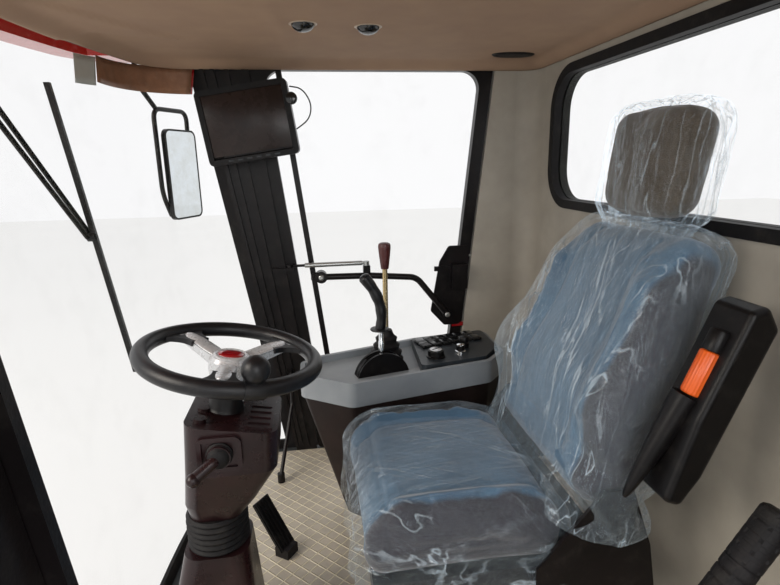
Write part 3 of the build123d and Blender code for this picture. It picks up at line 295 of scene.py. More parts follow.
print("seat pads")
seatSizes = {
    "cushionLow": (-0.283, -0.248, 0.514), "cushionHigh": (0.138, 0.248, 0.640),
    "cushionHalf": 0.248, "cushionLength": 0.421,
    "cushionRound": 0.046, "cushionCuts": 30,  # metres, edge radius of the foam; cuts along each side
    "cushionTop": (0.56, 0.63),             # heights between which the upper side begins
    "bolster": 0.026,                       # how far the side bolsters rise
    "crown": 0.010, "frontFall": 0.034, "sideFall": 0.070, "sideTuck": 0.010,
    "cushionSeams": (0.150, 0.085, 0.575),  # out to each side, along, height of the band's seam
    "backFoot": (-0.362, 0.0, 0.662), "backLean": 20.7,
    "backLow": (-0.245, -0.050, -0.070), "backHigh": (0.245, 0.540, 0.070), "backHalf": 0.245,
    "backRound": 0.052, "backCuts": 34,
    "backTop": 0.81,                        # share of the width left at the top
    "backBolster": 0.024, "lumbar": 0.022, "topFall": 0.018,
    "backSeams": (0.140, 0.055, 0.045),     # out to each side, up from the foot, forward of the middle
    "headMiddle": (-0.546, 0.0, 1.308), "headLean": 8.0,
    "headHalf": (0.134, 0.112, 0.056), "headRound": 0.044, "headCuts": 26,
    "headFall": 0.020, "headSeam": 0.022,
    "voxel": 0.007, "pressure": 4.0,
    "cap": 0.010, "headCap": 0.008,         # metres that the simulation may move the foam
}


def smoothStep(value, low, high):
    share = min(max((value - low) / (high - low), 0.0), 1.0)
    return share * share * (3 - 2 * share)


def boxBuild(low, high):
    build = bmesh.new()
    bmesh.ops.create_cube(build, size=1.0)
    low, high = Vector(low), Vector(high)
    bmesh.ops.scale(build, vec=high - low, verts=build.verts)
    bmesh.ops.translate(build, vec=(low + high) / 2, verts=build.verts)
    return build


def pieceFrom(build, name):
    mesh = bpy.data.meshes.new(name)
    build.to_mesh(mesh)
    build.free()
    return newObject(name, mesh)


def softBlock(name, low, high, radius, cuts):
    # a box with evenly rounded edges, from a subdivided cube
    low, high = Vector(low), Vector(high)
    build = boxBuild(low, high)
    bmesh.ops.subdivide_edges(build, edges=build.edges[:], cuts=cuts, use_grid_fill=True)
    for vert in build.verts:
        core = Vector([min(max(vert.co[i], low[i] + radius), high[i] - radius) for i in range(3)])
        out = vert.co - core
        if out.length > 1e-9:
            vert.co = core + out.normalized() * radius
    return pieceFrom(build, name)


def applyModifiers(piece):
    bpy.context.view_layer.update()
    graph = bpy.context.evaluated_depsgraph_get()
    settled = bpy.data.meshes.new_from_object(piece.evaluated_get(graph))
    piece.modifiers.clear()
    old = piece.data
    piece.data = settled
    bpy.data.meshes.remove(old)


def shadeSmooth(piece):
    piece.data.polygons.foreach_set("use_smooth", [True] * len(piece.data.polygons))


def roundOff(piece):
    smooth = piece.modifiers.new("smooth", "SUBSURF")
    smooth.levels = smooth.render_levels = 1
    applyModifiers(piece)
    shadeSmooth(piece)


def plump(piece, cap):
    # foam under cloth: remesh, swell by simulation, hold every point within the cap
    remesh = piece.modifiers.new("remesh", "REMESH")
    remesh.mode = "VOXEL"
    remesh.voxel_size = seatSizes["voxel"]
    applyModifiers(piece)
    start = [vert.co.copy() for vert in piece.data.vertices]
    cloth = piece.modifiers.new("plump", "CLOTH")
    cloth.settings.use_pressure = True
    cloth.settings.uniform_pressure_force = seatSizes["pressure"]
    cloth.settings.effector_weights.gravity = 0.0
    cloth.settings.quality = 4
    for frameNumber in range(1, 21):
        bpy.context.scene.frame_set(frameNumber)
    applyModifiers(piece)
    bpy.context.scene.frame_set(1)
    for vert, before in zip(piece.data.vertices, start):
        move = vert.co - before
        if move.length > cap:
            vert.co = before + move.normalized() * cap


def seam(piece, distance, width=0.006, depth=0.005):
    # sewn channel: points near the line sink along their normals
    piece.data.update()
    moves = [(vert, vert.normal.copy(), distance(vert.co)) for vert in piece.data.vertices]
    for vert, normal, away in moves:
        if away is not None:
            vert.co -= normal * depth * math.exp(-(away / width) ** 2)


def cushionRise(co, half, crown, frontFall):
    # side bolsters and a low crown; the front and side edges fall away
    side = abs(co.y) / half
    along = (co.x - seatSizes["cushionLow"][0]) / seatSizes["cushionLength"]
    rise = seatSizes["bolster"] * smoothStep(side, 0.58, 0.82) * smoothStep(along, -0.05, 0.3)
    rise += crown * (1 - side ** 2) * math.sin(math.pi * min(max(along, 0), 1))
    rise -= frontFall * smoothStep(along, 0.80, 1.05) + seatSizes["sideFall"] * smoothStep(side, 0.80, 1.02)
    return side, smoothStep(co.z, *seatSizes["cushionTop"]), rise


def backRise(co, half):
    # side bolsters and the lumbar swell; the top edge rolls back
    side = abs(co.x) / half
    rise = seatSizes["backBolster"] * smoothStep(side, 0.55, 0.82) * smoothStep(co.y, 0.02, 0.14)
    rise *= 1 - smoothStep(co.y, 0.40, 0.52)
    rise += seatSizes["lumbar"] * math.exp(-((co.y - 0.17) / 0.09) ** 2) * (1 - side ** 2 * 0.5)
    return rise - seatSizes["topFall"] * smoothStep(co.y, 0.42, 0.56)


def backNarrowing(y):
    return 1 - (1 - seatSizes["backTop"]) * smoothStep(y, 0.16, 0.60)


cushion = softBlock("seatCushionPad", seatSizes["cushionLow"], seatSizes["cushionHigh"],
                    seatSizes["cushionRound"], seatSizes["cushionCuts"])
for vert in cushion.data.vertices:
    side, top, rise = cushionRise(vert.co, seatSizes["cushionHalf"], seatSizes["crown"],
                                  seatSizes["frontFall"])
    vert.co.y -= math.copysign(seatSizes["sideTuck"], vert.co.y) * (1 - top) * smoothStep(side, 0.5, 1.0)
    vert.co.z += top * rise
plump(cushion, seatSizes["cap"])
seamOut, seamAlong, seamHeight = seatSizes["cushionSeams"]
seam(cushion, lambda co: abs(abs(co.y) - seamOut) if co.z > 0.6 else None)
seam(cushion, lambda co: abs(co.x - seamAlong) if co.z > 0.58 else None)
seam(cushion, lambda co: abs(co.z - seamHeight - 0.02 * math.cos(co.x * 9)) if co.x > -0.2 else None,
     depth=0.003)

lean = math.radians(seatSizes["backLean"])
backPlace = Matrix((
    (0, -math.sin(lean), math.cos(lean), seatSizes["backFoot"][0]),
    (1, 0, 0, 0),
    (0, math.cos(lean), math.sin(lean), seatSizes["backFoot"][2]),
    (0, 0, 0, 1),
))
backPad = softBlock("backrestPad", seatSizes["backLow"], seatSizes["backHigh"], seatSizes["backRound"],
                    seatSizes["backCuts"])
for vert in backPad.data.vertices:
    vert.co.z += smoothStep(vert.co.z, 0.0, 0.06) * backRise(vert.co, seatSizes["backHalf"])
    vert.co.x *= backNarrowing(vert.co.y)
plump(backPad, seatSizes["cap"])
seamOut, seamUp, seamForward = seatSizes["backSeams"]
seam(backPad, lambda co: abs(abs(co.x) - seamOut + 0.05 * co.y) if co.z > 0.04 and co.y > 0.03 else None)
seam(backPad, lambda co: abs(co.y - seamUp) if co.z > 0.04 else None, depth=0.004)
seam(backPad, lambda co: abs(co.z - seamForward) if abs(co.x) > 0.18 else None, depth=0.003)
backPad.data.transform(backPlace)

# the pad is shaped lying down: its own X runs across the cab, Y up and Z forwards
headPlace = Matrix.Translation(seatSizes["headMiddle"]) @ turned(-seatSizes["headLean"], "Y") @ Matrix((
    (0, 0, 1, 0), (1, 0, 0, 0), (0, 1, 0, 0), (0, 0, 0, 1)))
headLimit = Vector(seatSizes["headHalf"])
headWide, headTall = seatSizes["headHalf"][:2]
headPad = softBlock("headrestPad", -headLimit, headLimit, seatSizes["headRound"],
                    seatSizes["headCuts"])
for vert in headPad.data.vertices:
    x, y, z = vert.co
    vert.co.z -= smoothStep(z, 0.0, 0.05) * seatSizes["headFall"] * smoothStep(abs(x) / headWide, 0.5, 1.0)
    vert.co.x *= 1 - 0.08 * smoothStep(-y, 0.0, headTall)
plump(headPad, seatSizes["headCap"])
seam(headPad, lambda co: abs(co.z - seatSizes["headSeam"]), depth=0.003)
headPad.data.transform(headPlace)

for pad, cloth, body, node, fill in (
        (cushion, seatCloth, "seat", "seat_cushion", 0.75),
        (backPad, seatCloth, "back", "backrest", 0.75),
        (headPad, headCloth, "back", "headrest", 0.8)):
    roundOff(pad)
    coat(pad, cloth)
    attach(pad, body)
    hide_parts(node)

print("protective film")


# Polyethylene film on the new seat: clear, glossy, crumpled; it whitens where it folds, and the pale fold
# crests are painted highlights too; at a slant it is painted paler, a painted reflection.
# Its folds are drawn as long crests 33 mm by 17 mm, thinned out in patches.
def filmFinish(name, haze, ridge, turns):
    material, tree, place = newMaterial(name)
    pulls, lines = [], []
    for number, turn in enumerate(turns):
        drawn = addNode(tree, "Mapping", {"vector_type": "TEXTURE"},
                        {"Vector": place, "Location": (number * 3.1, 0.0, 0.0), "Rotation": turn,
                         "Scale": (1 / 2.6, 1 / 33, 1 / 17)})
        pull = addNode(tree, "TexNoise", inputs={"Vector": drawn, "Scale": 1.0, "Detail": 2.5,
                                                 "Roughness": 0.45, "Distortion": 0.1})
        fold = addNode(tree, "Math", {"operation": "SUBTRACT"}, {0: pull, 1: 0.5})
        fold = addNode(tree, "Math", {"operation": "ABSOLUTE"}, {0: fold})
        crest = addNode(tree, "MapRange", {"interpolation_type": "SMOOTHSTEP"},
                        {"Value": fold, "From Max": 0.030, "To Min": 1.0, "To Max": 0.0})
        patch = addNode(tree, "TexNoise", inputs={"Vector": drawn, "Scale": 0.35, "Detail": 3.0})
        shown = addNode(tree, "MapRange", inputs={"Value": patch, "From Min": 0.45, "From Max": 0.62})
        # the crests raise the pale film's alpha: real fold whitening, and painted highlights along the folds
        lines.append(addNode(tree, "Math", {"operation": "MULTIPLY"}, {0: crest, 1: shown}))
        pulls.append(pull)
    line = addNode(tree, "Math", {"operation": "MAXIMUM"}, {0: lines[0], 1: lines[1]})
    high = addNode(tree, "Math", {"operation": "ADD"}, {0: pulls[0], 1: pulls[1]})
    crumple = addNode(tree, "TexNoise", inputs={"Vector": place, "Scale": 34.0, "Detail": 5.0,
                                                "Roughness": 0.6, "Distortion": 0.8})
    high = addNode(tree, "Math", {"operation": "MULTIPLY_ADD"}, {0: high, 1: 2.0, 2: crumple})
    bump = addNode(tree, "Bump", inputs={"Strength": 0.9, "Distance": 0.010, "Height": high})
    slant = addNode(tree, "LayerWeight", inputs={"Blend": 0.35, "Normal": bump})
    # painted reflection: the film is made paler at a slant through its alpha, on top of its even haze
    hazeAndPaintedSheen = addNode(tree, "Math", {"operation": "MULTIPLY_ADD"},
                   {0: slant.outputs["Facing"], 1: 0.24, 2: haze})
    alpha = addNode(tree, "Math", {"operation": "MULTIPLY_ADD", "use_clamp": True},
                    {0: line, 1: ridge, 2: hazeAndPaintedSheen})
    shader = addNode(tree, "BsdfPrincipled", inputs={
        "Base Color": linearColour("#b4c6d3"), "Roughness": 0.10, "IOR": 1.6, "Alpha": alpha,
        "Specular IOR Level": 0.9, "Normal": bump})
    glint = addNode(tree, "Fresnel", inputs={"IOR": 1.5, "Normal": bump})
    shine = addNode(tree, "Mix", {"data_type": "RGBA"},
                    {0: glint, 6: linearColour("#000000"), 7: linearColour("#8a939a")})
    gloss = addNode(tree, "BsdfAnisotropic", inputs={"Color": shine.outputs[2], "Roughness": 0.09,
                                                     "Normal": bump})
    closeMaterial(tree, addNode(tree, "AddShader", inputs={0: shader, 1: gloss}))
    return material


# Each film: its box, edge radius and cuts, then the fold spacings and depth in metres, the noise's start,
# and the heights below which the bag is open.
filmSizes = {
    "cushionFilm": dict(low=(-0.289, -0.256, 0.424), high=(0.146, 0.256, 0.646), radius=0.048, cuts=64,
                        folds=(0.30, 0.045, 0.09), depth=0.007, seed=3.1, openBelow=("z", 0.474)),
    "backrestFilm": dict(low=(-0.254, -0.139, -0.080), high=(0.254, 0.549, 0.078), radius=0.054, cuts=70,
                         folds=(0.050, 0.22, 0.12), depth=0.009, seed=7.7, openBelow=("y", -0.080)),
    "headrestFilm": dict(low=(-0.146, -0.196, -0.066), high=(0.146, 0.122, 0.066), radius=0.046, cuts=52,
                         folds=(0.035, 0.12, 0.06), depth=0.009, seed=11.4, openBelow=("y", -0.150)),
}
filmCrown, filmFrontFall, filmFlare = 0.012, 0.032, 0.012  # metres, on the cushion


def wrinkle(co, size, seed):
    # ridged noise from -1 to 1, in long folds
    spot = Vector((co.x / size[0], co.y / size[1], co.z / size[2])) + Vector((seed, seed * 1.7, seed * 0.3))
    return 1 - 2 * abs(noise.fractal(spot, 0.9, 2.0, 4))


def filmOver(name, shape, place, finish):
    sizes = filmSizes[name]
    film = softBlock(name, sizes["low"], sizes["high"], sizes["radius"], sizes["cuts"])
    build = bmesh.new()
    build.from_mesh(film.data)
    axis, level = sizes["openBelow"]
    below = [face for face in build.faces if getattr(face.calc_center_median(), axis) < level]
    bmesh.ops.delete(build, geom=below, context="FACES")
    build.to_mesh(film.data)
    build.free()
    film.data.update()
    moves = [vert.normal * sizes["depth"] * (0.5 + 0.5 * wrinkle(vert.co, sizes["folds"], sizes["seed"]))
             for vert in film.data.vertices]
    for vert, move in zip(film.data.vertices, moves):
        vert.co += move
        shape(vert)
    film.data.transform(place)
    roundOff(film)
    coat(film, finish)
    return film


def shapeCushionFilm(vert):
    x, y, z = vert.co
    top, rise = cushionRise(vert.co, 0.256, filmCrown, filmFrontFall)[1:]
    vert.co.z += top * rise
    hang = 1 - smoothStep(z, 0.49, 0.56)
    flare = filmFlare * hang * (0.5 + 0.5 * math.sin(y * 46 + x * 39) * math.cos(x * 21))
    vert.co.x += flare * math.copysign(1, x + 0.07)
    vert.co.y += flare * math.copysign(1, y)
    vert.co.z -= flare


def shapeBackFilm(vert):
    x, y, z = vert.co
    rise = backRise(vert.co, 0.25) + 0.030 * math.exp(-((y - 0.16) / 0.10) ** 2) * smoothStep(-x, 0.05, 0.22)
    vert.co.z += smoothStep(z, 0.0, 0.06) * rise
    vert.co.x *= backNarrowing(y)
    loose = (1 - smoothStep(y, -0.06, 0.16)) * smoothStep(x, 0.05, 0.25)
    vert.co.x += 0.022 * loose
    vert.co.z += 0.030 * loose * math.sin(y * 60 + x * 30)


def shapeHeadFilm(vert):
    x, y, z = vert.co
    neck = smoothStep(-y, 0.09, 0.15)
    vert.co.x *= 1 - 0.22 * neck
    vert.co.z *= 1 - 0.25 * neck
    vert.co.z -= seatSizes["headFall"] * smoothStep(abs(x) / headWide, 0.5, 1.0) * smoothStep(z, 0.0, 0.05)
    vert.co.x += 0.010 * smoothStep(x, 0.05, 0.14)


cushionFilm = filmOver("cushionFilm", shapeCushionFilm, Matrix.Identity(4),
                       filmFinish("polyethyleneFilmTaut", 0.02, 0.42, ((0.0, 0.0, 0.15), (0.0, 0.0, -0.55))))
backFilm = filmOver("backrestFilm", shapeBackFilm, backPlace,
                    filmFinish("polyethyleneFilmHazy", 0.08, 0.48, ((0.0, 1.22, 0.55), (0.0, 1.22, -0.6))))
headFilm = filmOver("headrestFilm", shapeHeadFilm, headPlace,
                    filmFinish("polyethyleneFilmLoose", 0.01, 0.40, ((0.0, 1.5, 0.15), (0.0, 1.4, 0.7))))
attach(cushionFilm, "seat")
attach(backFilm, "back")
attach(headFilm, "back")

print("steering wheel and column")
wheelSizes = {
    "centre": (0.387, 0.0, 0.928), "lean": 10.0,
    "capHalf": (0.027, 0.021), "capHeight": 0.0025, "capAt": 0.0028, "ring": (0.030, 0.036),
    "collar": (0.0365, -0.118, -0.050),       # radius, low and high along the wheel's axis
    "spokes": (91, 224, 318),                 # degrees round the wheel
    "spokeThickness": 0.0042,
    "bellows": (0.068, 0.0045, 0.486, 0.570), # radius, rib depth, low and high
    "bellowsRibs": 6, "bellowsAt": (0.450, 0.0),
    "bootAt": (0.410, 0.1035, 0.757),
}
wheelPlace = Matrix.Translation(wheelSizes["centre"]) @ turned(-wheelSizes["lean"], "Y")


def finishPiece(build, name, material, body, place=None):
    # closes a bmesh into a piece that rides on a body, its place in its mesh
    bmesh.ops.remove_doubles(build, verts=build.verts, dist=1e-6)
    bmesh.ops.recalc_face_normals(build, faces=build.faces)
    if place is not None:
        bmesh.ops.transform(build, matrix=place, verts=build.verts)
        if place.determinant() < 0:
            bmesh.ops.reverse_faces(build, faces=build.faces)
    piece = pieceFrom(build, name)
    shadeSmooth(piece)
    piece.data.set_sharp_from_angle(angle=math.radians(38))
    coat(piece, material)
    if body is not None:
        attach(piece, body)
    return piece


def spinBuild(profile, segments=64):
    # a turned shape from (radius, height) pairs about its own Z axis
    build = bmesh.new()
    verts = [build.verts.new((radius, 0.0, height)) for radius, height in profile]
    edges = [build.edges.new(pair) for pair in zip(verts, verts[1:])]
    bmesh.ops.spin(build, geom=verts + edges, cent=(0, 0, 0), axis=(0, 0, 1), angle=2 * math.pi,
                   steps=segments, use_merge=True)
    return build


def bevelEdges(build, edges, offset, segments):
    bmesh.ops.bevel(build, geom=edges, offset=offset, offset_type="OFFSET", segments=segments,
                    profile=0.5, affect="EDGES", material=-1)


def plateBuild(low, high, rounding=0.003, segments=3):
    build = boxBuild(low, high)
    bevelEdges(build, build.edges[:], rounding, segments)
    return build


def slabBuild(size, axis, corner, segments):
    # a box about its middle, rounded on the four edges that run along one axis
    half = Vector(size) / 2
    build = boxBuild(-half, half)
    edges = [edge for edge in build.edges if abs((edge.verts[0].co - edge.verts[1].co)[axis]) > 1e-4]
    bevelEdges(build, edges, corner, segments)
    return build


def tubeBuild(stations, segments=32):
    # rings along a path: each station is a point, a radius and how wide it is across
    build = bmesh.new()
    points = [Vector(point) for point, radius, across in stations]
    rings = []
    for i, (point, radius, across) in enumerate(stations):
        ahead = points[min(i + 1, len(points) - 1)] - points[max(i - 1, 0)]
        turn = ahead.to_track_quat("Z", "Y").to_matrix().to_4x4()
        made = bmesh.ops.create_circle(build, segments=segments, radius=radius, cap_ends=False)["verts"]
        bmesh.ops.scale(build, vec=(1, across, 1), verts=made)
        bmesh.ops.transform(build, matrix=Matrix.Translation(point) @ turn, verts=made)
        rings.append([edge for edge in build.edges if edge.verts[0] in made and edge.verts[1] in made])
    for near, far in zip(rings, rings[1:]):
        bmesh.ops.bridge_loops(build, edges=near + far)
    for ring in (rings[0], rings[-1]):
        bmesh.ops.contextual_create(build, geom=ring)
    return build


# stove enamel of the hub cap: deep red under a clear gloss
capRed = hardFinish("enamelRedGlossy", light="#9c1219", dark="#8d0f16", rough=0.18, grain=3.0, depth=0.02,
                    lacquer=0.8, dustShare=0.02)
# yellow passivated zinc of the gear rod: pale gold, fairly glossy
goldPlate = hardFinish("zincPlateYellow", light="#cdb98e", dark="#bda77b", rough=0.28, grain=3.0, depth=0.04,
                       metallic=0.85, dustShare=0.04)
cap = spinBuild([(0.0, 0.0), (1.0, 0.0), (1.0, 0.6), (0.93, 0.95), (0.6, 1.15), (0.0, 1.25)])
bmesh.ops.scale(cap, vec=(*wheelSizes["capHalf"], wheelSizes["capHeight"]), verts=cap.verts)
bmesh.ops.translate(cap, vec=(0, 0, wheelSizes["capAt"]), verts=cap.verts)
finishPiece(cap, "hubCap", capRed, "wheel", wheelPlace)
inner, outer = wheelSizes["ring"]
ring = spinBuild([(inner - 0.003, 0.0), (inner, 0.0035), (inner + 0.002, 0.0045), (outer - 0.002, 0.004),
                  (outer, 0.0015), (outer, -0.001), (inner - 0.003, -0.001), (inner - 0.003, 0.0)])
finishPiece(ring, "hubRing", hard["silverPaint"], "wheel", wheelPlace)
radius, low, high = wheelSizes["collar"]
sleeve = spinBuild([(radius - 0.0022, low), (radius + 0.003, low), (radius, low + 0.006),
                    (radius, high - 0.002), (radius - 0.0022, high), (radius - 0.0022, low)])
finishPiece(sleeve, "columnSleeve", hard["absBlack"], "column", wheelPlace)
spokeLine = (  # reach from the hub, rise, half width
    (0.038, -0.0080, 0.0170), (0.060, -0.0045, 0.0185), (0.085, -0.0008, 0.0182), (0.110, 0.0028, 0.0165),
    (0.132, 0.0046, 0.0135), (0.142, 0.0050, 0.0100), (0.145, 0.0050, 0.0050))
for number, angle in enumerate(wheelSizes["spokes"], 1):
    stations = [((reach, 0, rise), half, wheelSizes["spokeThickness"] / half)
                for reach, rise, half in spokeLine]
    finishPiece(tubeBuild(stations, 40), "spokePlate%d" % number, hard["silverPaint"], "wheel",
                wheelPlace @ turned(angle, "Z"))

radius, depth, low, high = wheelSizes["bellows"]
steps = wheelSizes["bellowsRibs"] * 8
profile = [(radius - 0.008, low)]
for i in range(steps + 1):
    share = i / steps
    valley = 0.5 + 0.5 * math.cos(2 * math.pi * i / 8)
    profile.append((radius - depth * valley - 0.010 * max(0.0, share - 0.8), low + (high - low) * share))
profile.append((radius - 0.016, high))
bellows = spinBuild(profile, 96)
bmesh.ops.translate(bellows, vec=(*wheelSizes["bellowsAt"], 0), verts=bellows.verts)
bellowsPiece = finishPiece(bellows, "columnBellows", hard["rubberBlack"], None)  # a blend takes no ride
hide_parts("column_bellows")
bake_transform(bellowsPiece)

boot = spinBuild([(0.0, 0.0), (0.027, 0.0), (0.027, 0.004), (0.0235, 0.007), (0.025, 0.010), (0.021, 0.013),
                  (0.0225, 0.016), (0.0185, 0.019), (0.020, 0.022), (0.0155, 0.026), (0.0, 0.028)], 48)
finishPiece(boot, "stalkBoot", hard["rubberBlack"], "column",
            Matrix.Translation(wheelSizes["bootAt"]) @ turned(-90, "X"))

print("console levers and switches")
leverSizes = {
    "driveAt": (0.0131, -0.4239), "gearAt": (-0.0140, -0.5082), "tray": 0.690, "top": 0.720,
    "gearRod": 0.008, "gearKnobLow": 0.998, "gearKnobHigh": 1.080,
    "grip": 0.020, "gripFoot": 0.826, "gripOut": 0.004,      # radius, height and set-off of the drive grip
    "gripBend": (-0.020, 0.912), "gripTip": (0.046, 0.990),  # along the cab and up
    "gripAcross": 0.86, "gripWave": 0.055,
    "driveRod": ((0.0, 0.700), (0.0068, 0.700), (0.0068, 0.762), (0.0092, 0.764), (0.0092, 0.790),
                 (0.0075, 0.793), (0.0075, 0.826), (0.0, 0.826)),
}
# the gear knob's ABS: brown marbled with dark red, coarse grain
knobBrown = hardFinish("absBrownRed", light="#5a2422", dark="#43191a", rough=0.4, grain=7.0, depth=0.9,
                       dustShare=0.06)
# polished black ABS of dials, rockers and lamps
glossBlack = hardFinish("absBlackGlossy", light="#141516", dark="#0e0f10", rough=0.2, grain=2.0, depth=0.04,
                        dustShare=0.06, lacquer=0.3)
gearPlace = Matrix.Translation((*leverSizes["gearAt"], 0))
low, high = leverSizes["gearKnobLow"], leverSizes["gearKnobHigh"]
rod = spinBuild([(0.0, leverSizes["tray"]), (leverSizes["gearRod"], leverSizes["tray"]),
                 (leverSizes["gearRod"], low + 0.01), (0.0, low + 0.01)], 32)
gearRod = finishPiece(rod, "gearRod", goldPlate, "cab", gearPlace)
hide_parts("gear_lever")
knob = spinBuild([(0.0, low), (0.0115, low), (0.0125, low + 0.003), (0.0145, low + 0.02),
                  (0.0175, low + 0.045), (0.0195, low + 0.066), (0.0195, high - 0.009),
                  (0.0175, high - 0.003), (0.0120, high), (0.0, high + 0.001)], 48)
finishPiece(knob, "gearKnob", knobBrown, "cab", gearPlace)

x, y = leverSizes["driveAt"]
driveRod = finishPiece(spinBuild(leverSizes["driveRod"], 32), "driveRod", hard["chromedSteel"], "cab",
                       Matrix.Translation((x, y, 0)))
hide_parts("drive_lever")
gripFoot = Vector((x + leverSizes["gripOut"], y, leverSizes["gripFoot"]))
gripBend, gripTip = (Vector((x + along, y, height)) for along, height in (leverSizes["gripBend"],
                                                                          leverSizes["gripTip"]))
stations = []
for i in range(33):
    t = i / 32
    point = gripFoot * (1 - t) ** 2 + gripBend * 2 * t * (1 - t) + gripTip * t ** 2
    size = leverSizes["grip"] * (0.86 + 0.16 * t)
    size *= 1 + leverSizes["gripWave"] * math.sin(t * 22) * (1 if 0.12 < t < 0.82 else 0.2)
    stations.append((point, size, leverSizes["gripAcross"]))
for share, size in ((0.35, 0.93), (0.7, 0.74), (1.0, 0.4)):
    stations.append((gripTip + (gripTip - gripBend).normalized() * 0.010 * share,
                     leverSizes["grip"] * 1.02 * size, leverSizes["gripAcross"]))
finishPiece(tubeBuild(stations), "driveGrip", hard["polyurethaneBlack"], "cab")
flange = spinBuild([(0.0, 0.0), (0.017, 0.0), (0.0275, 0.003), (0.029, 0.0055), (0.0275, 0.008),
                    (0.017, 0.010), (0.0, 0.010)], 48)
finishPiece(flange, "driveFlange", hard["polyurethaneBlack"], "cab",
            Matrix.Translation(gripFoot - Vector((0, 0, 0.002))))

dialAt, dialTurn = (-0.1630, -0.4461), 35
dialKnobs = {
    "dial": (dialAt, [(0.0, 0.0), (0.030, 0.0), (0.030, 0.004), (0.0245, 0.006), (0.0235, 0.021),
                      (0.021, 0.024), (0.0, 0.024)], "absBlack"),
    "dialTop": (dialAt, [(0.0, 0.0238), (0.0195, 0.0238), (0.0195, 0.0252), (0.018, 0.0262), (0.0, 0.0262)],
                "silverPaint"),
    "keyKnob": ((-0.2497, -0.4699), [(0.0, 0.0), (0.017, 0.0), (0.017, 0.006), (0.013, 0.008),
                                     (0.0125, 0.026), (0.009, 0.029), (0.0, 0.030)], "chromedSteel"),
    "domeKnob": ((-0.2749, -0.5150), [(0.0, 0.0), (0.016, 0.0), (0.016, 0.006), (0.010, 0.010),
                                      (0.010, 0.016), (0.0165, 0.020), (0.0185, 0.028), (0.0155, 0.036),
                                      (0.008, 0.040), (0.0, 0.041)], "absBlack"),
}
for name, (at, profile, finish) in dialKnobs.items():
    finishPiece(spinBuild(profile, 48), name, hard[finish], "cab",
                Matrix.Translation((*at, leverSizes["top"])))
pointer = plateBuild((-0.0165, -0.0016, 0.0258), (0.0165, 0.0016, 0.0272), 0.0006, 2)
finishPiece(pointer, "dialPointer", glossBlack, "cab",
            Matrix.Translation((*dialAt, leverSizes["top"])) @ turned(dialTurn, "Z"))

rockerSizes = {
    "starts": ((-0.1498, -0.5448), (-0.1398, -0.5860)), "turn": 14.0, "pitch": 0.038,
    "half": (0.0165, 0.0195), "high": 0.010, "count": 6, "rounding": 0.0028,
    "hollow": 0.0022, "tilt": 0.0012,    # metres, how its top dips and leans
}
halfX, halfY = rockerSizes["half"]
for row, (x, y) in enumerate(rockerSizes["starts"], 1):
    place = Matrix.Translation((x, y, leverSizes["top"])) @ turned(rockerSizes["turn"], "Z")
    for step in range(rockerSizes["count"]):
        rocker = plateBuild((-halfX, -halfY, 0), (halfX, halfY, rockerSizes["high"]), rockerSizes["rounding"])
        for vert in rocker.verts:
            if vert.co.z > 0.004:
                vert.co.z -= (rockerSizes["hollow"] * (1 - (vert.co.y / halfY) ** 2)
                              + rockerSizes["tilt"] * math.copysign(1, vert.co.y))
        finishPiece(rocker, "rocker%d%d" % (row, step + 1), glossBlack, "cab",
                    place @ Matrix.Translation((-rockerSizes["pitch"] * step, 0, 0)))

print("monitor and mirrors")
monitorSizes = {
    "at": (0.388, -0.722, 1.450), "roll": 8.0, "turn": -6.0, "size": (0.292, 0.034, 0.232), "corner": 0.016,
    "rim": 0.0175, "recess": 0.0045,
    "screenLow": (-0.128, 0.0120, -0.090), "screenHigh": (0.128, 0.0145, 0.098),
    "keyLow": (-0.0085, 0.0160, -0.0030), "keyHigh": (0.0085, 0.0180, 0.0030),
    "keys": 6, "keyAt": (-0.075, -0.1065), "keyPitch": 0.030,
    "clampAt": (-0.151, 0.004, 0.052),
}
monitorPlace = (Matrix.Translation(monitorSizes["at"]) @ turned(monitorSizes["roll"], "Y")
                @ turned(monitorSizes["turn"], "Z"))


# Glass with dust on it. The monitor's, switched off, is dark brownish with a soft gloss;
# the mirror's is silvered and nearly perfect.
def glassFinish(name, scale, stops, rough, inputs):
    # rough gives the noise's low and high, then the roughness that they turn to
    material, tree, place = newMaterial(name)
    dust = addNode(tree, "TexNoise", inputs={"Vector": place, "Scale": scale, "Detail": 8.0,
                                             "Roughness": 0.7})
    colour = addNode(tree, "ValToRGB", inputs={"Fac": dust}, stops=stops)
    gloss = addNode(tree, "MapRange", inputs={"Value": dust, "From Min": rough[0], "From Max": rough[1],
                                              "To Min": rough[2], "To Max": rough[3]})
    closeMaterial(tree, addNode(tree, "BsdfPrincipled", inputs={"Base Color": colour, "Roughness": gloss,
                                                                **inputs}))
    return material


screenGlass = glassFinish("screenGlassDark", 14.0, ((0.35, "#211816"), (0.7, "#2f2421")),
                          (0.3, 0.8, 0.22, 0.36), {"Specular IOR Level": 0.3})
screen = plateBuild(monitorSizes["screenLow"], monitorSizes["screenHigh"], 0.001, 2)
finishPiece(screen, "monitorScreen", screenGlass, "cab", monitorPlace)
case = slabBuild(monitorSizes["size"], 1, monitorSizes["corner"], 6)
front = [face for face in case.faces if face.calc_center_median().y > 0.016]
bmesh.ops.inset_region(case, faces=front, thickness=monitorSizes["rim"], depth=0.0, use_even_offset=True)
bmesh.ops.inset_region(case, faces=front, thickness=0.002, depth=-monitorSizes["recess"],
                       use_even_offset=True)
monitorCase = finishPiece(case, "monitorCase", hard["absBlack"], "cab", monitorPlace)
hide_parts("monitor")
keyX, keyZ = monitorSizes["keyAt"]
for step in range(monitorSizes["keys"]):
    finishPiece(plateBuild(monitorSizes["keyLow"], monitorSizes["keyHigh"], 0.0009, 2),
                "monitorKey%d" % (step + 1), hard["absSlate"], "cab",
                monitorPlace @ Matrix.Translation((keyX + monitorSizes["keyPitch"] * step, 0, keyZ)))
turnKnob = spinBuild([(0.0, 0.0), (0.019, 0.0), (0.019, 0.010), (0.016, 0.013), (0.012, 0.0145),
                      (0.0, 0.0145)], 40)
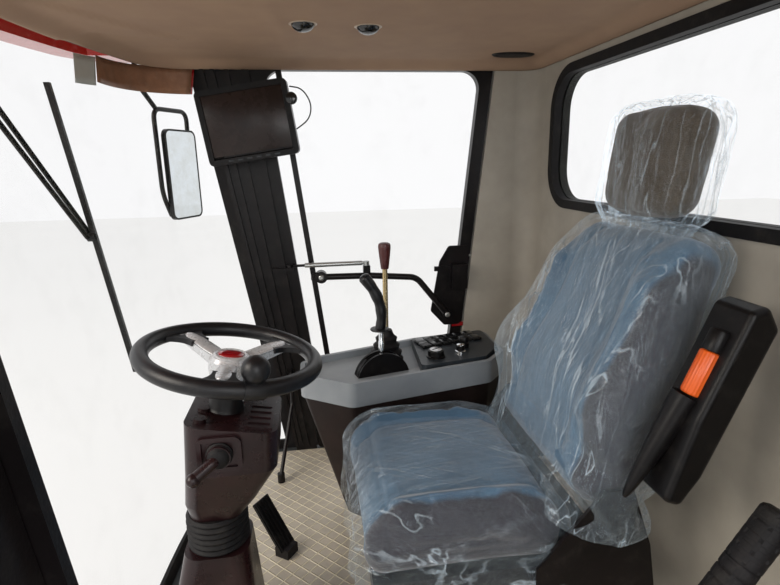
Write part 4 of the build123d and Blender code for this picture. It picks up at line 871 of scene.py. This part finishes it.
finishPiece(turnKnob, "monitorClampKnob", glossBlack, "cab",
            monitorPlace @ Matrix.Translation(monitorSizes["clampAt"]) @ turned(-90, "X"))

mirrorSizes = {
    "at": (0.690, -1.105, 1.288), "turn": -22.0, "head": (0.018, 0.190, 0.335), "corner": 0.028,
    "pane": (0.0012, 0.176, 0.321), "paneCorner": 0.022, "paneAt": -0.0072,
    "tube": 0.0085, "frameBend": 0.040, "armBend": 0.030, "beam": (0.770, -0.930), "armTop": (1.668, 1.600),
    "frame": ((0.014, -0.078, 0.150), (0.014, -0.082, 0.238), (0.014, 0.116, 0.236), (0.014, 0.116, -0.070),
              (0.014, 0.078, -0.150)),
    "armEnd": (0.014, 0.100, 0.236),
}
silveredGlass = glassFinish("silveredGlass", 16.0, ((0.4, "#dfe5e8"), (0.8, "#cfd2cf")),
                            (0.4, 0.9, 0.02, 0.16), {"Metallic": 1.0})


def roundedPath(points, bend, radius, steps=7):
    # stations of a bent tube: straight runs with an even bend at each corner
    points = [Vector(point) for point in points]
    stations = [(points[0], radius, 1.0)]
    for before, corner, after in zip(points, points[1:], points[2:]):
        start = corner + (before - corner).normalized() * min(bend, (before - corner).length * 0.49)
        end = corner + (after - corner).normalized() * min(bend, (after - corner).length * 0.49)
        for i in range(steps + 1):
            t = i / steps
            stations.append((start * (1 - t) ** 2 + corner * 2 * t * (1 - t) + end * t ** 2, radius, 1.0))
    stations.append((points[-1], radius, 1.0))
    return stations


mirrorPlace = Matrix.Translation(mirrorSizes["at"]) @ turned(mirrorSizes["turn"], "Z")
beamX, beamY = mirrorSizes["beam"]
armPoints = [(beamX, beamY, height) for height in mirrorSizes["armTop"]]
armPoints.append(mirrorPlace @ Vector(mirrorSizes["armEnd"]))
for side, name, node in ((1, "Right", "mirror_right"), (-1, "Left", "mirror_left")):
    flip = Matrix.Scale(side, 4, (0, 1, 0))
    head = slabBuild(mirrorSizes["head"], 0, mirrorSizes["corner"], 8)
    back = [face for face in head.faces if face.calc_center_median().x > 0.008]
    bmesh.ops.inset_region(head, faces=back, thickness=0.016, depth=0.004, use_even_offset=True)
    front = [face for face in head.faces if face.calc_center_median().x < -0.008]
    bmesh.ops.inset_region(head, faces=front, thickness=0.006, depth=0.0, use_even_offset=True)
    bmesh.ops.inset_region(head, faces=front, thickness=0.001, depth=-0.0025, use_even_offset=True)
    mirrorHead = finishPiece(head, "mirrorHead" + name, hard["absBlack"], "cab", flip @ mirrorPlace)
    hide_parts(node)
    pane = slabBuild(mirrorSizes["pane"], 0, mirrorSizes["paneCorner"], 8)
    bmesh.ops.translate(pane, vec=(mirrorSizes["paneAt"], 0, 0), verts=pane.verts)
    finishPiece(pane, "mirrorPane" + name, silveredGlass, "cab", flip @ mirrorPlace)
    outer = tubeBuild(roundedPath(mirrorSizes["frame"], mirrorSizes["frameBend"], mirrorSizes["tube"]), 20)
    finishPiece(outer, "mirrorFrame" + name, hard["powderCoatBlack"], "cab", flip @ mirrorPlace)
    arm = tubeBuild(roundedPath(armPoints, mirrorSizes["armBend"], mirrorSizes["tube"]), 20)
    finishPiece(arm, "mirrorArm" + name, hard["powderCoatBlack"], "cab", flip)

print("headliner")
linerSizes = {
    "edge": 0.052, "half": 0.910, "nose": 0.876, "bow": 2.870, "rear": -0.680, "frontCorner": 0.200,
    "rearCorner": 0.120, "level": 1.6612, "drop": 0.026, "border": 0.085, "thickness": 0.004,
    "middle": (0.06, 0.0), "segments": 288, "rings": 64,
    "wedgeApex": (0.510, -0.544), "wedgeRear": (0.688, -0.258), "wedgeFront": (0.877, -0.386),
    "wedgeDrop": 0.007,
    "grooveAt": 0.245, "grooveDepth": 0.004, "grooveHalf": 0.016,   # the crease across the lining
}


def linerOutline(count):
    # points round the cab's plan, inside its walls and windows, each found by halving along a ray
    half = linerSizes["half"] - linerSizes["edge"]
    bow = linerSizes["bow"] - linerSizes["edge"]
    centre = linerSizes["nose"] - linerSizes["bow"]
    back = linerSizes["rear"] + linerSizes["edge"]
    rearCorner = linerSizes["rearCorner"] - linerSizes["edge"]
    frontCorner = linerSizes["frontCorner"] - linerSizes["edge"]
    cornerX = centre + math.sqrt((bow - frontCorner) ** 2 - (half - frontCorner) ** 2)
    cornerTurn = math.atan2(half - frontCorner, cornerX - centre)
    middle = Vector(linerSizes["middle"])
    points = []
    for i in range(count):
        angle = 2 * math.pi * i / count
        ray = Vector((math.cos(angle), math.sin(angle)))
        low, high = 0.0, 2.0
        for halving in range(30):
            reach = (low + high) / 2
            x, y = middle + ray * reach
            inside = abs(y) < half and x > back and math.hypot(x - centre, y) < bow
            if x < back + rearCorner and abs(y) > half - rearCorner:
                inside = inside and math.hypot(x - back - rearCorner, abs(y) - half + rearCorner) < rearCorner
            if x > cornerX and abs(y) > half - frontCorner:
                away = Vector((x - cornerX, abs(y) - half + frontCorner))
                if cornerTurn < math.atan2(away.y, away.x):
                    inside = inside and away.length < frontCorner
            low, high = (reach, high) if inside else (low, reach)
        points.append(middle + ray * low)
    return middle, points


def besideLine(point, start, end):
    # signed distance of a point from the line through start and end
    along = (Vector(end) - Vector(start)).normalized()
    away = point - Vector(start)
    return along.x * away.y - along.y * away.x


def extrudeRing(build, edges):
    # pulls the next ring out of a ring of edges
    made = bmesh.ops.extrude_edge_only(build, edges=edges)["geom"]
    return ([item for item in made if isinstance(item, bmesh.types.BMVert)],
            [item for item in made if isinstance(item, bmesh.types.BMEdge)])


middle, outline = linerOutline(linerSizes["segments"])
liner = bmesh.new()
ringVerts = bmesh.ops.create_circle(liner, segments=linerSizes["segments"], radius=1.0,
                                    cap_ends=False)["verts"]
ringVerts.sort(key=lambda vert: math.atan2(vert.co.y, vert.co.x) % (2 * math.pi - 1e-6))
for vert, point in zip(ringVerts, outline):
    vert.co = (point.x, point.y, 0.0)
ringEdges = liner.edges[:]
for ringNumber in range(linerSizes["rings"]):
    ringVerts, ringEdges = extrudeRing(liner, ringEdges)
    now, before = (1 - (n / (linerSizes["rings"] + 1)) ** 1.15 for n in (ringNumber + 1, ringNumber))
    bmesh.ops.scale(liner, vec=(now / before, now / before, 1), verts=ringVerts,
                    space=Matrix.Translation((-middle.x, -middle.y, 0)))
bmesh.ops.contextual_create(liner, geom=ringEdges)
for vert in liner.verts:
    flat = vert.co.xy
    away = flat - middle
    place = math.atan2(away.y, away.x) % (2 * math.pi) / (2 * math.pi) * linerSizes["segments"]
    rim = outline[int(round(place)) % linerSizes["segments"]] - middle
    inward = rim.length - away.length
    rearSide = besideLine(flat, linerSizes["wedgeApex"], linerSizes["wedgeRear"])
    frontSide = besideLine(flat, linerSizes["wedgeFront"], linerSizes["wedgeApex"])
    wedge = smoothStep(-rearSide, -0.004, 0.010) * smoothStep(-frontSide, -0.004, 0.010)
    fromGroove = flat.x - linerSizes["grooveAt"] - 0.10 * (flat.y + 0.5)
    groove = math.exp(-(fromGroove / linerSizes["grooveHalf"]) ** 2)
    vert.co.z = linerSizes["level"] - linerSizes["wedgeDrop"] * wedge
    vert.co.z -= linerSizes["drop"] * (1 - smoothStep(inward, 0.0, linerSizes["border"])) ** 1.6
    vert.co.z -= linerSizes["grooveDepth"] * groove * smoothStep(inward, 0.03, 0.2)
linerPiece = finishPiece(liner, "headlinerMoulding", hard["linerFeltTan"], "cab")


def thicken(piece, thickness):
    solid = piece.modifiers.new("thickness", "SOLIDIFY")
    solid.thickness = thickness
    applyModifiers(piece)


thicken(linerPiece, linerSizes["thickness"])
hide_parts("headliner")

print("armrest roller, bolts and latch")
rollerSizes = {
    "foot": (-0.4316, 0.3325, 0.9196), "axis": (-0.3795, 0.0, 0.9252), "radius": 0.0182,
    "flutes": 18, "fluteDepth": 0.035,   # share of the radius
    "levels": ((0.0, 0.80), (0.0015, 0.92), (0.004, 1.0), (0.078, 1.0), (0.0805, 0.92), (0.082, 0.80)),
}
roller = bmesh.new()
bmesh.ops.create_circle(roller, segments=rollerSizes["flutes"] * 6, radius=1.0, cap_ends=False)
levels = rollerSizes["levels"]
ringVerts, ringEdges = roller.verts[:], roller.edges[:]
bmesh.ops.scale(roller, vec=(rollerSizes["radius"] * levels[0][1],) * 2 + (1,), verts=ringVerts)
for (level, share), (levelBefore, shareBefore) in zip(levels[1:], levels):
    ringVerts, ringEdges = extrudeRing(roller, ringEdges)
    bmesh.ops.scale(roller, vec=(share / shareBefore,) * 2 + (1,), verts=ringVerts)
    bmesh.ops.translate(roller, vec=(0, 0, level - levelBefore), verts=ringVerts)
bmesh.ops.holes_fill(roller, edges=[edge for edge in roller.edges if edge.is_boundary])
for vert in roller.verts:
    if vert.co.xy.length > 0.006:
        turn = math.atan2(vert.co.y, vert.co.x) * rollerSizes["flutes"]
        vert.co.xy *= 1 - rollerSizes["fluteDepth"] * (0.5 - 0.5 * math.cos(turn))
rollerAxis = Vector(rollerSizes["axis"])
rollerPlace = (Matrix.Translation(rollerSizes["foot"])
               @ rollerAxis.to_track_quat("Z", "Y").to_matrix().to_4x4())
rollerPiece = finishPiece(roller, "rollerRibbed", hard["ppOrange"], "arm", rollerPlace)
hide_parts("armrest_roller")
end = spinBuild([(0.0, 0.083), (0.0178, 0.083), (0.0182, 0.085), (0.0182, 0.118), (0.0160, 0.122),
                 (0.0, 0.123)], 40)
finishPiece(end, "rollerCap", hard["absBlack"], "arm", rollerPlace)

boltHead = [(0.0, 0.0), (0.0105, 0.0), (0.0105, 0.0015), (0.0088, 0.0042), (0.0052, 0.0056), (0.0048, 0.0034),
            (0.0, 0.0034)]
doorSizes = {
    "bolts": {"pullBarBolt": (0.180, -0.8262, 0.912), "pullBarFootBolt": (-0.298, -0.8262, 0.742)},
    "latch": {"latchPawl": ((-0.372, -0.8372, 0.868), (-0.350, -0.8335, 0.893), 0.002),
              "latchPlate": ((-0.345, -0.8372, 0.862), (-0.324, -0.8352, 0.910), 0.001)},
    "screws": ((-0.334, -0.8372, 0.925), (-0.362, -0.8372, 0.925), (-0.334, -0.8372, 0.856),
               (-0.395, -0.8668, 0.965), (-0.395, -0.8668, 0.800)),
    "screwShare": 0.55,   # of the bolt head's width
    "tab": ((-0.374, -0.8692, 0.681), (-0.326, -0.8620, 0.698), 0.002),
}
for name, at in doorSizes["bolts"].items():
    finishPiece(spinBuild(boltHead, 28), name, hard["zincPlate"], "door_right",
                Matrix.Translation(at) @ turned(-90, "X"))
# yellow zinc plate of the latch, dulled towards brass
brass = hardFinish("zincPlateBrassy", light="#b89a5c", dark="#9c8148", rough=0.32, grain=2.0, depth=0.06,
                   metallic=0.8, dustShare=0.06)
for name, (low, high, rounding) in doorSizes["latch"].items():
    finishPiece(plateBuild(low, high, rounding, 2), name, brass, "door_right")
screwHead = [(radius * doorSizes["screwShare"], height) for radius, height in boltHead]
for number, at in enumerate(doorSizes["screws"], 1):
    finishPiece(spinBuild(screwHead, 20), "latchScrew%d" % number, hard["zincPlate"], "door_right",
                Matrix.Translation(at) @ turned(-90, "X"))
finishPiece(plateBuild(*doorSizes["tab"], 2), "releaseTab", capRed, "door_right")
ridge = []
for step in range(25):
    share = step / 24
    at = Vector(rollerSizes["foot"]) - rollerAxis * (0.004 + 0.215 * share)
    at += Vector((0.010 * share, -0.006 - 0.012 * share, 0.0))
    ridge.append((at, 0.0215 * (1 - share) ** 0.6 + 0.004, 1.0))
finishPiece(tubeBuild(ridge), "armrestRidge", hard["absBlack"], "arm")

cableSizes = {
    "bend": 0.030, "diameter": 0.0042,
    "points": ((0.252, -0.712, 1.560), (0.212, -0.712, 1.554), (0.184, -0.712, 1.508), (0.193, -0.712, 1.460),
               (0.236, -0.712, 1.430)),
}
loopStations = roundedPath(cableSizes["points"], cableSizes["bend"], cableSizes["diameter"] / 2, 10)
monitorCable = finishPiece(tubeBuild(loopStations, 12), "monitorCable", hard["rubberBlack"], "cab")

gripSizes = {
    "top": (-0.402, 0.560, 0.850), "down": (0.112, 0.0, -0.175), "radius": 0.0242, "length": 0.188,
    "rows": 11, "pads": 7, "groove": 0.0017,
}
gripRings = [(0.0, -0.004), (0.016, -0.004), (0.0222, -0.001)]
gripRings += [(gripSizes["radius"], 0.002 + i * (gripSizes["length"] - 0.004) / 88) for i in range(89)]
gripRings += [(0.0222, gripSizes["length"]), (0.012, gripSizes["length"] + 0.001)]
grip = spinBuild(gripRings, 112)
for vert in grip.verts:
    radial = vert.co.xy.length
    if radial > 0.0235:
        row = (vert.co.z / gripSizes["length"] * gripSizes["rows"]) % 1.0
        pad = (math.atan2(vert.co.y, vert.co.x) / (2 * math.pi) * gripSizes["pads"]) % 1.0
        sunk = 1 - min(smoothStep(min(row, 1 - row), 0.05, 0.16), smoothStep(min(pad, 1 - pad), 0.03, 0.10))
        vert.co.xy *= 1 - sunk * gripSizes["groove"] / radial
finishPiece(grip, "brakeGrip", hard["rubberBlack"], "cab", Matrix.Translation(gripSizes["top"])
            @ Vector(gripSizes["down"]).to_track_quat("Z", "Y").to_matrix().to_4x4())

print("lamps, labels and wiring")
lampSizes = {
    "lamps": ((0.199, 0.352), (0.034, 0.371)), "lampLevel": 1.6555,
    "flange": ((0.0, 0.006), (0.036, 0.006), (0.036, 0.002), (0.033, 0.0), (0.029, 0.001), (0.028, 0.004)),
    "domeRadius": 0.0295, "domeHigh": 0.020,
    "speaker": (-0.480, 0.699), "speakerLevel": 1.6515, "speakerStretch": 1.8,
    "oval": ((0.0, 0.0085), (0.040, 0.0085), (0.040, 0.004), (0.037, 0.001), (0.030, 0.0), (0.0, 0.0025)),
}
# ABS of the lamps' flanges: warm beige, smooth
lampFlange = hardFinish("absBeige", light="#c4b2a0", dark="#b5a290", rough=0.4, grain=2.0, depth=0.05,
                        dustShare=0.04)
# ABS speaker grille: black, its holes drawn as a deep grain
grille = hardFinish("absBlackGrille", light="#141113", dark="#070607", rough=0.5, grain=3.2, depth=0.9,
                    specular=0.25)
domeLine = [(lampSizes["domeRadius"] * math.cos(i * math.pi / 16),
             0.003 - lampSizes["domeHigh"] * math.sin(i * math.pi / 16)) for i in range(9)] + [(0.0, 0.004)]
for side, sideName in ((1, "Left"), (-1, "Right")):
    for number, (x, y) in enumerate(lampSizes["lamps"], 1):
        lampPlace = Matrix.Translation((x, side * y, lampSizes["lampLevel"]))
        finishPiece(spinBuild(lampSizes["flange"], 48), "lampFlange%s%d" % (sideName, number), lampFlange,
                    "cab", lampPlace)
        lampDome = finishPiece(spinBuild(domeLine, 48), "lampDome%s%d" % (sideName, number), glossBlack,
                               "cab", lampPlace)
    x, y = lampSizes["speaker"]
    finishPiece(spinBuild(lampSizes["oval"], 64), "speaker" + sideName, grille, "cab",
                Matrix.Translation((x, side * y, lampSizes["speakerLevel"]))
                @ Matrix.Scale(lampSizes["speakerStretch"], 4, (1, 0, 0)))
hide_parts("ceiling_fittings")

# coated paper of the stuck-on labels: dusty tan and pale grey, a slight gloss
paperTan = hardFinish("coatedPaperTan", light="#a4785c", dark="#8f6850", rough=0.45, grain=5.0, depth=0.05,
                      patch=22.0, dustShare=0.2)
paperPale = hardFinish("coatedPaperPale", light="#d7dcd8", dark="#c9cfcb", rough=0.4, grain=5.0, depth=0.05)
# each label: how far it bows with the screen, its material, then its corners, top row first
labels = {
    "screenLabelLarge": (0.052, paperTan, ((0.778, -0.600, 1.627), (0.567, -0.884, 1.642),
                                           (0.583, -0.884, 1.556), (0.773, -0.572, 1.552))),
    "screenLabelSmall": (0.002, paperPale, ((0.798, -0.500, 1.614), (0.776, -0.590, 1.620),
                                            (0.773, -0.560, 1.541), (0.792, -0.470, 1.536))),
    "screenLabelEdge": (0.0, capRed, ((0.574, -0.8825, 1.640), (0.566, -0.8825, 1.641),
                                      (0.582, -0.8825, 1.557), (0.590, -0.8825, 1.558))),
}
for name, (bow, paper, corners) in labels.items():
    label = bmesh.new()
    bmesh.ops.create_grid(label, x_segments=16, y_segments=4, size=0.5)
    a, b, c, d = (Vector(corner) for corner in corners)
    for vert in label.verts:
        u, v = vert.co.x + 0.5, vert.co.y + 0.5
        vert.co = (a * (1 - u) + b * u) * v + (d * (1 - u) + c * u) * (1 - v)
        vert.co += Vector((bow, -bow, 0)) * 4 * u * (1 - u)
    thicken(finishPiece(label, name, paper, "cab"), 0.0006)

pillarSizes = {
    "top": 1.66, "inner": -0.8655,
    "front": (0.555, 9.47), "rear": (0.399, 6.56),      # each edge: place at the top, lean in degrees
    "cables": ((0.40, 0.05, 0.0), (0.62, 0.07, 2.0)),   # share across, sway and its start
    "cableTop": 1.40, "cableRadius": 0.0032,
}


def pillarPoint(share, z):
    # a point on the right front pillar's inner face
    front, rear = (x + (z - pillarSizes["top"]) * math.tan(math.radians(leaning))
                   for x, leaning in (pillarSizes["front"], pillarSizes["rear"]))
    return Vector((rear + share * (front - rear), pillarSizes["inner"], z))


for number, (share, sway, phase) in enumerate(pillarSizes["cables"], 1):
    stations = []
    for step in range(41):
        at = pillarPoint(share + sway * math.sin(step * 0.33 + phase), pillarSizes["cableTop"] - 0.03 * step)
        stations.append((at, pillarSizes["cableRadius"], 1.0))
    finishPiece(tubeBuild(stations, 12), "pillarCable%d" % number, glossBlack, "cab")

print("floor and light")
studio = {
    "floorHalf": 14, "floorGlow": 0.76,   # metres, share of plain white in what the camera sees
    "world": 0.74, "key": 215.0, "doorway": 60.0,
}
floorBuild = bmesh.new()
bmesh.ops.create_grid(floorBuild, x_segments=1, y_segments=1, size=studio["floorHalf"])
studioFloor = pieceFrom(floorBuild, "studioFloor")


def seenPlainly(tree):
    # 1 for rays from the camera, off a mirror or through glass
    path = addNode(tree, "LightPath")
    seen = addNode(tree, "Math", {"operation": "MAXIMUM"},
                   {0: path.outputs["Is Camera Ray"], 1: path.outputs["Is Glossy Ray"]})
    return addNode(tree, "Math", {"operation": "MAXIMUM"}, {0: seen, 1: path.outputs["Is Transmission Ray"]})


# Matt painted floor of a studio: pale warm grey, lifted towards white where it is seen.
def studioFloorFinish():
    material, tree, place = newMaterial("paleStudioFloor")
    cloud = addNode(tree, "TexNoise", inputs={"Vector": place, "Scale": 0.8, "Detail": 3.0})
    colour = addNode(tree, "ValToRGB", inputs={"Fac": cloud}, stops=((0.3, "#d9d6cf"), (0.7, "#e2dfd8")))
    shade = addNode(tree, "BsdfPrincipled", inputs={"Base Color": colour, "Roughness": 0.8})
    share = addNode(tree, "Math", {"operation": "MULTIPLY"}, {0: seenPlainly(tree), 1: studio["floorGlow"]})
    white = addNode(tree, "Emission", inputs={"Color": linearColour("#ffffff"), "Strength": 1.0})
    closeMaterial(tree, addNode(tree, "MixShader", inputs={0: share, 1: shade, 2: white}))
    return material


coat(studioFloor, studioFloorFinish())

bpy.context.scene.view_settings.view_transform = "Standard"
world = bpy.data.worlds.new("studioWorld")
bpy.context.scene.world = world
world.use_nodes = True
worldTree = world.node_tree
worldTree.nodes.clear()
strength = addNode(worldTree, "MapRange", inputs={"Value": seenPlainly(worldTree), "To Min": studio["world"]})
sky = addNode(worldTree, "Background", inputs={"Color": linearColour("#fdfdfe"), "Strength": strength})
addNode(worldTree, "OutputWorld", inputs={"Surface": sky})


def areaLamp(name, place, target, size, power, colour="#ffffff"):
    lampData = bpy.data.lights.new(name, "AREA")
    lampData.shape = "SQUARE"
    lampData.size = size
    lampData.energy = power
    lampData.color = linearColour(colour)[:3]
    lamp = newObject(name, lampData)
    lamp.location = place
    lamp.rotation_mode = "QUATERNION"
    lamp.rotation_quaternion = (Vector(target) - Vector(place)).to_track_quat("-Z", "Y")


areaLamp("keyThroughScreen", (4.2, 1.6, 3.4), (0, 0, 0.9), 2.6, studio["key"], "#fff6ea")
areaLamp("fillAtDoorway", (0.3, 3.2, 2.0), (0, 0, 0.9), 2.0, studio["doorway"])
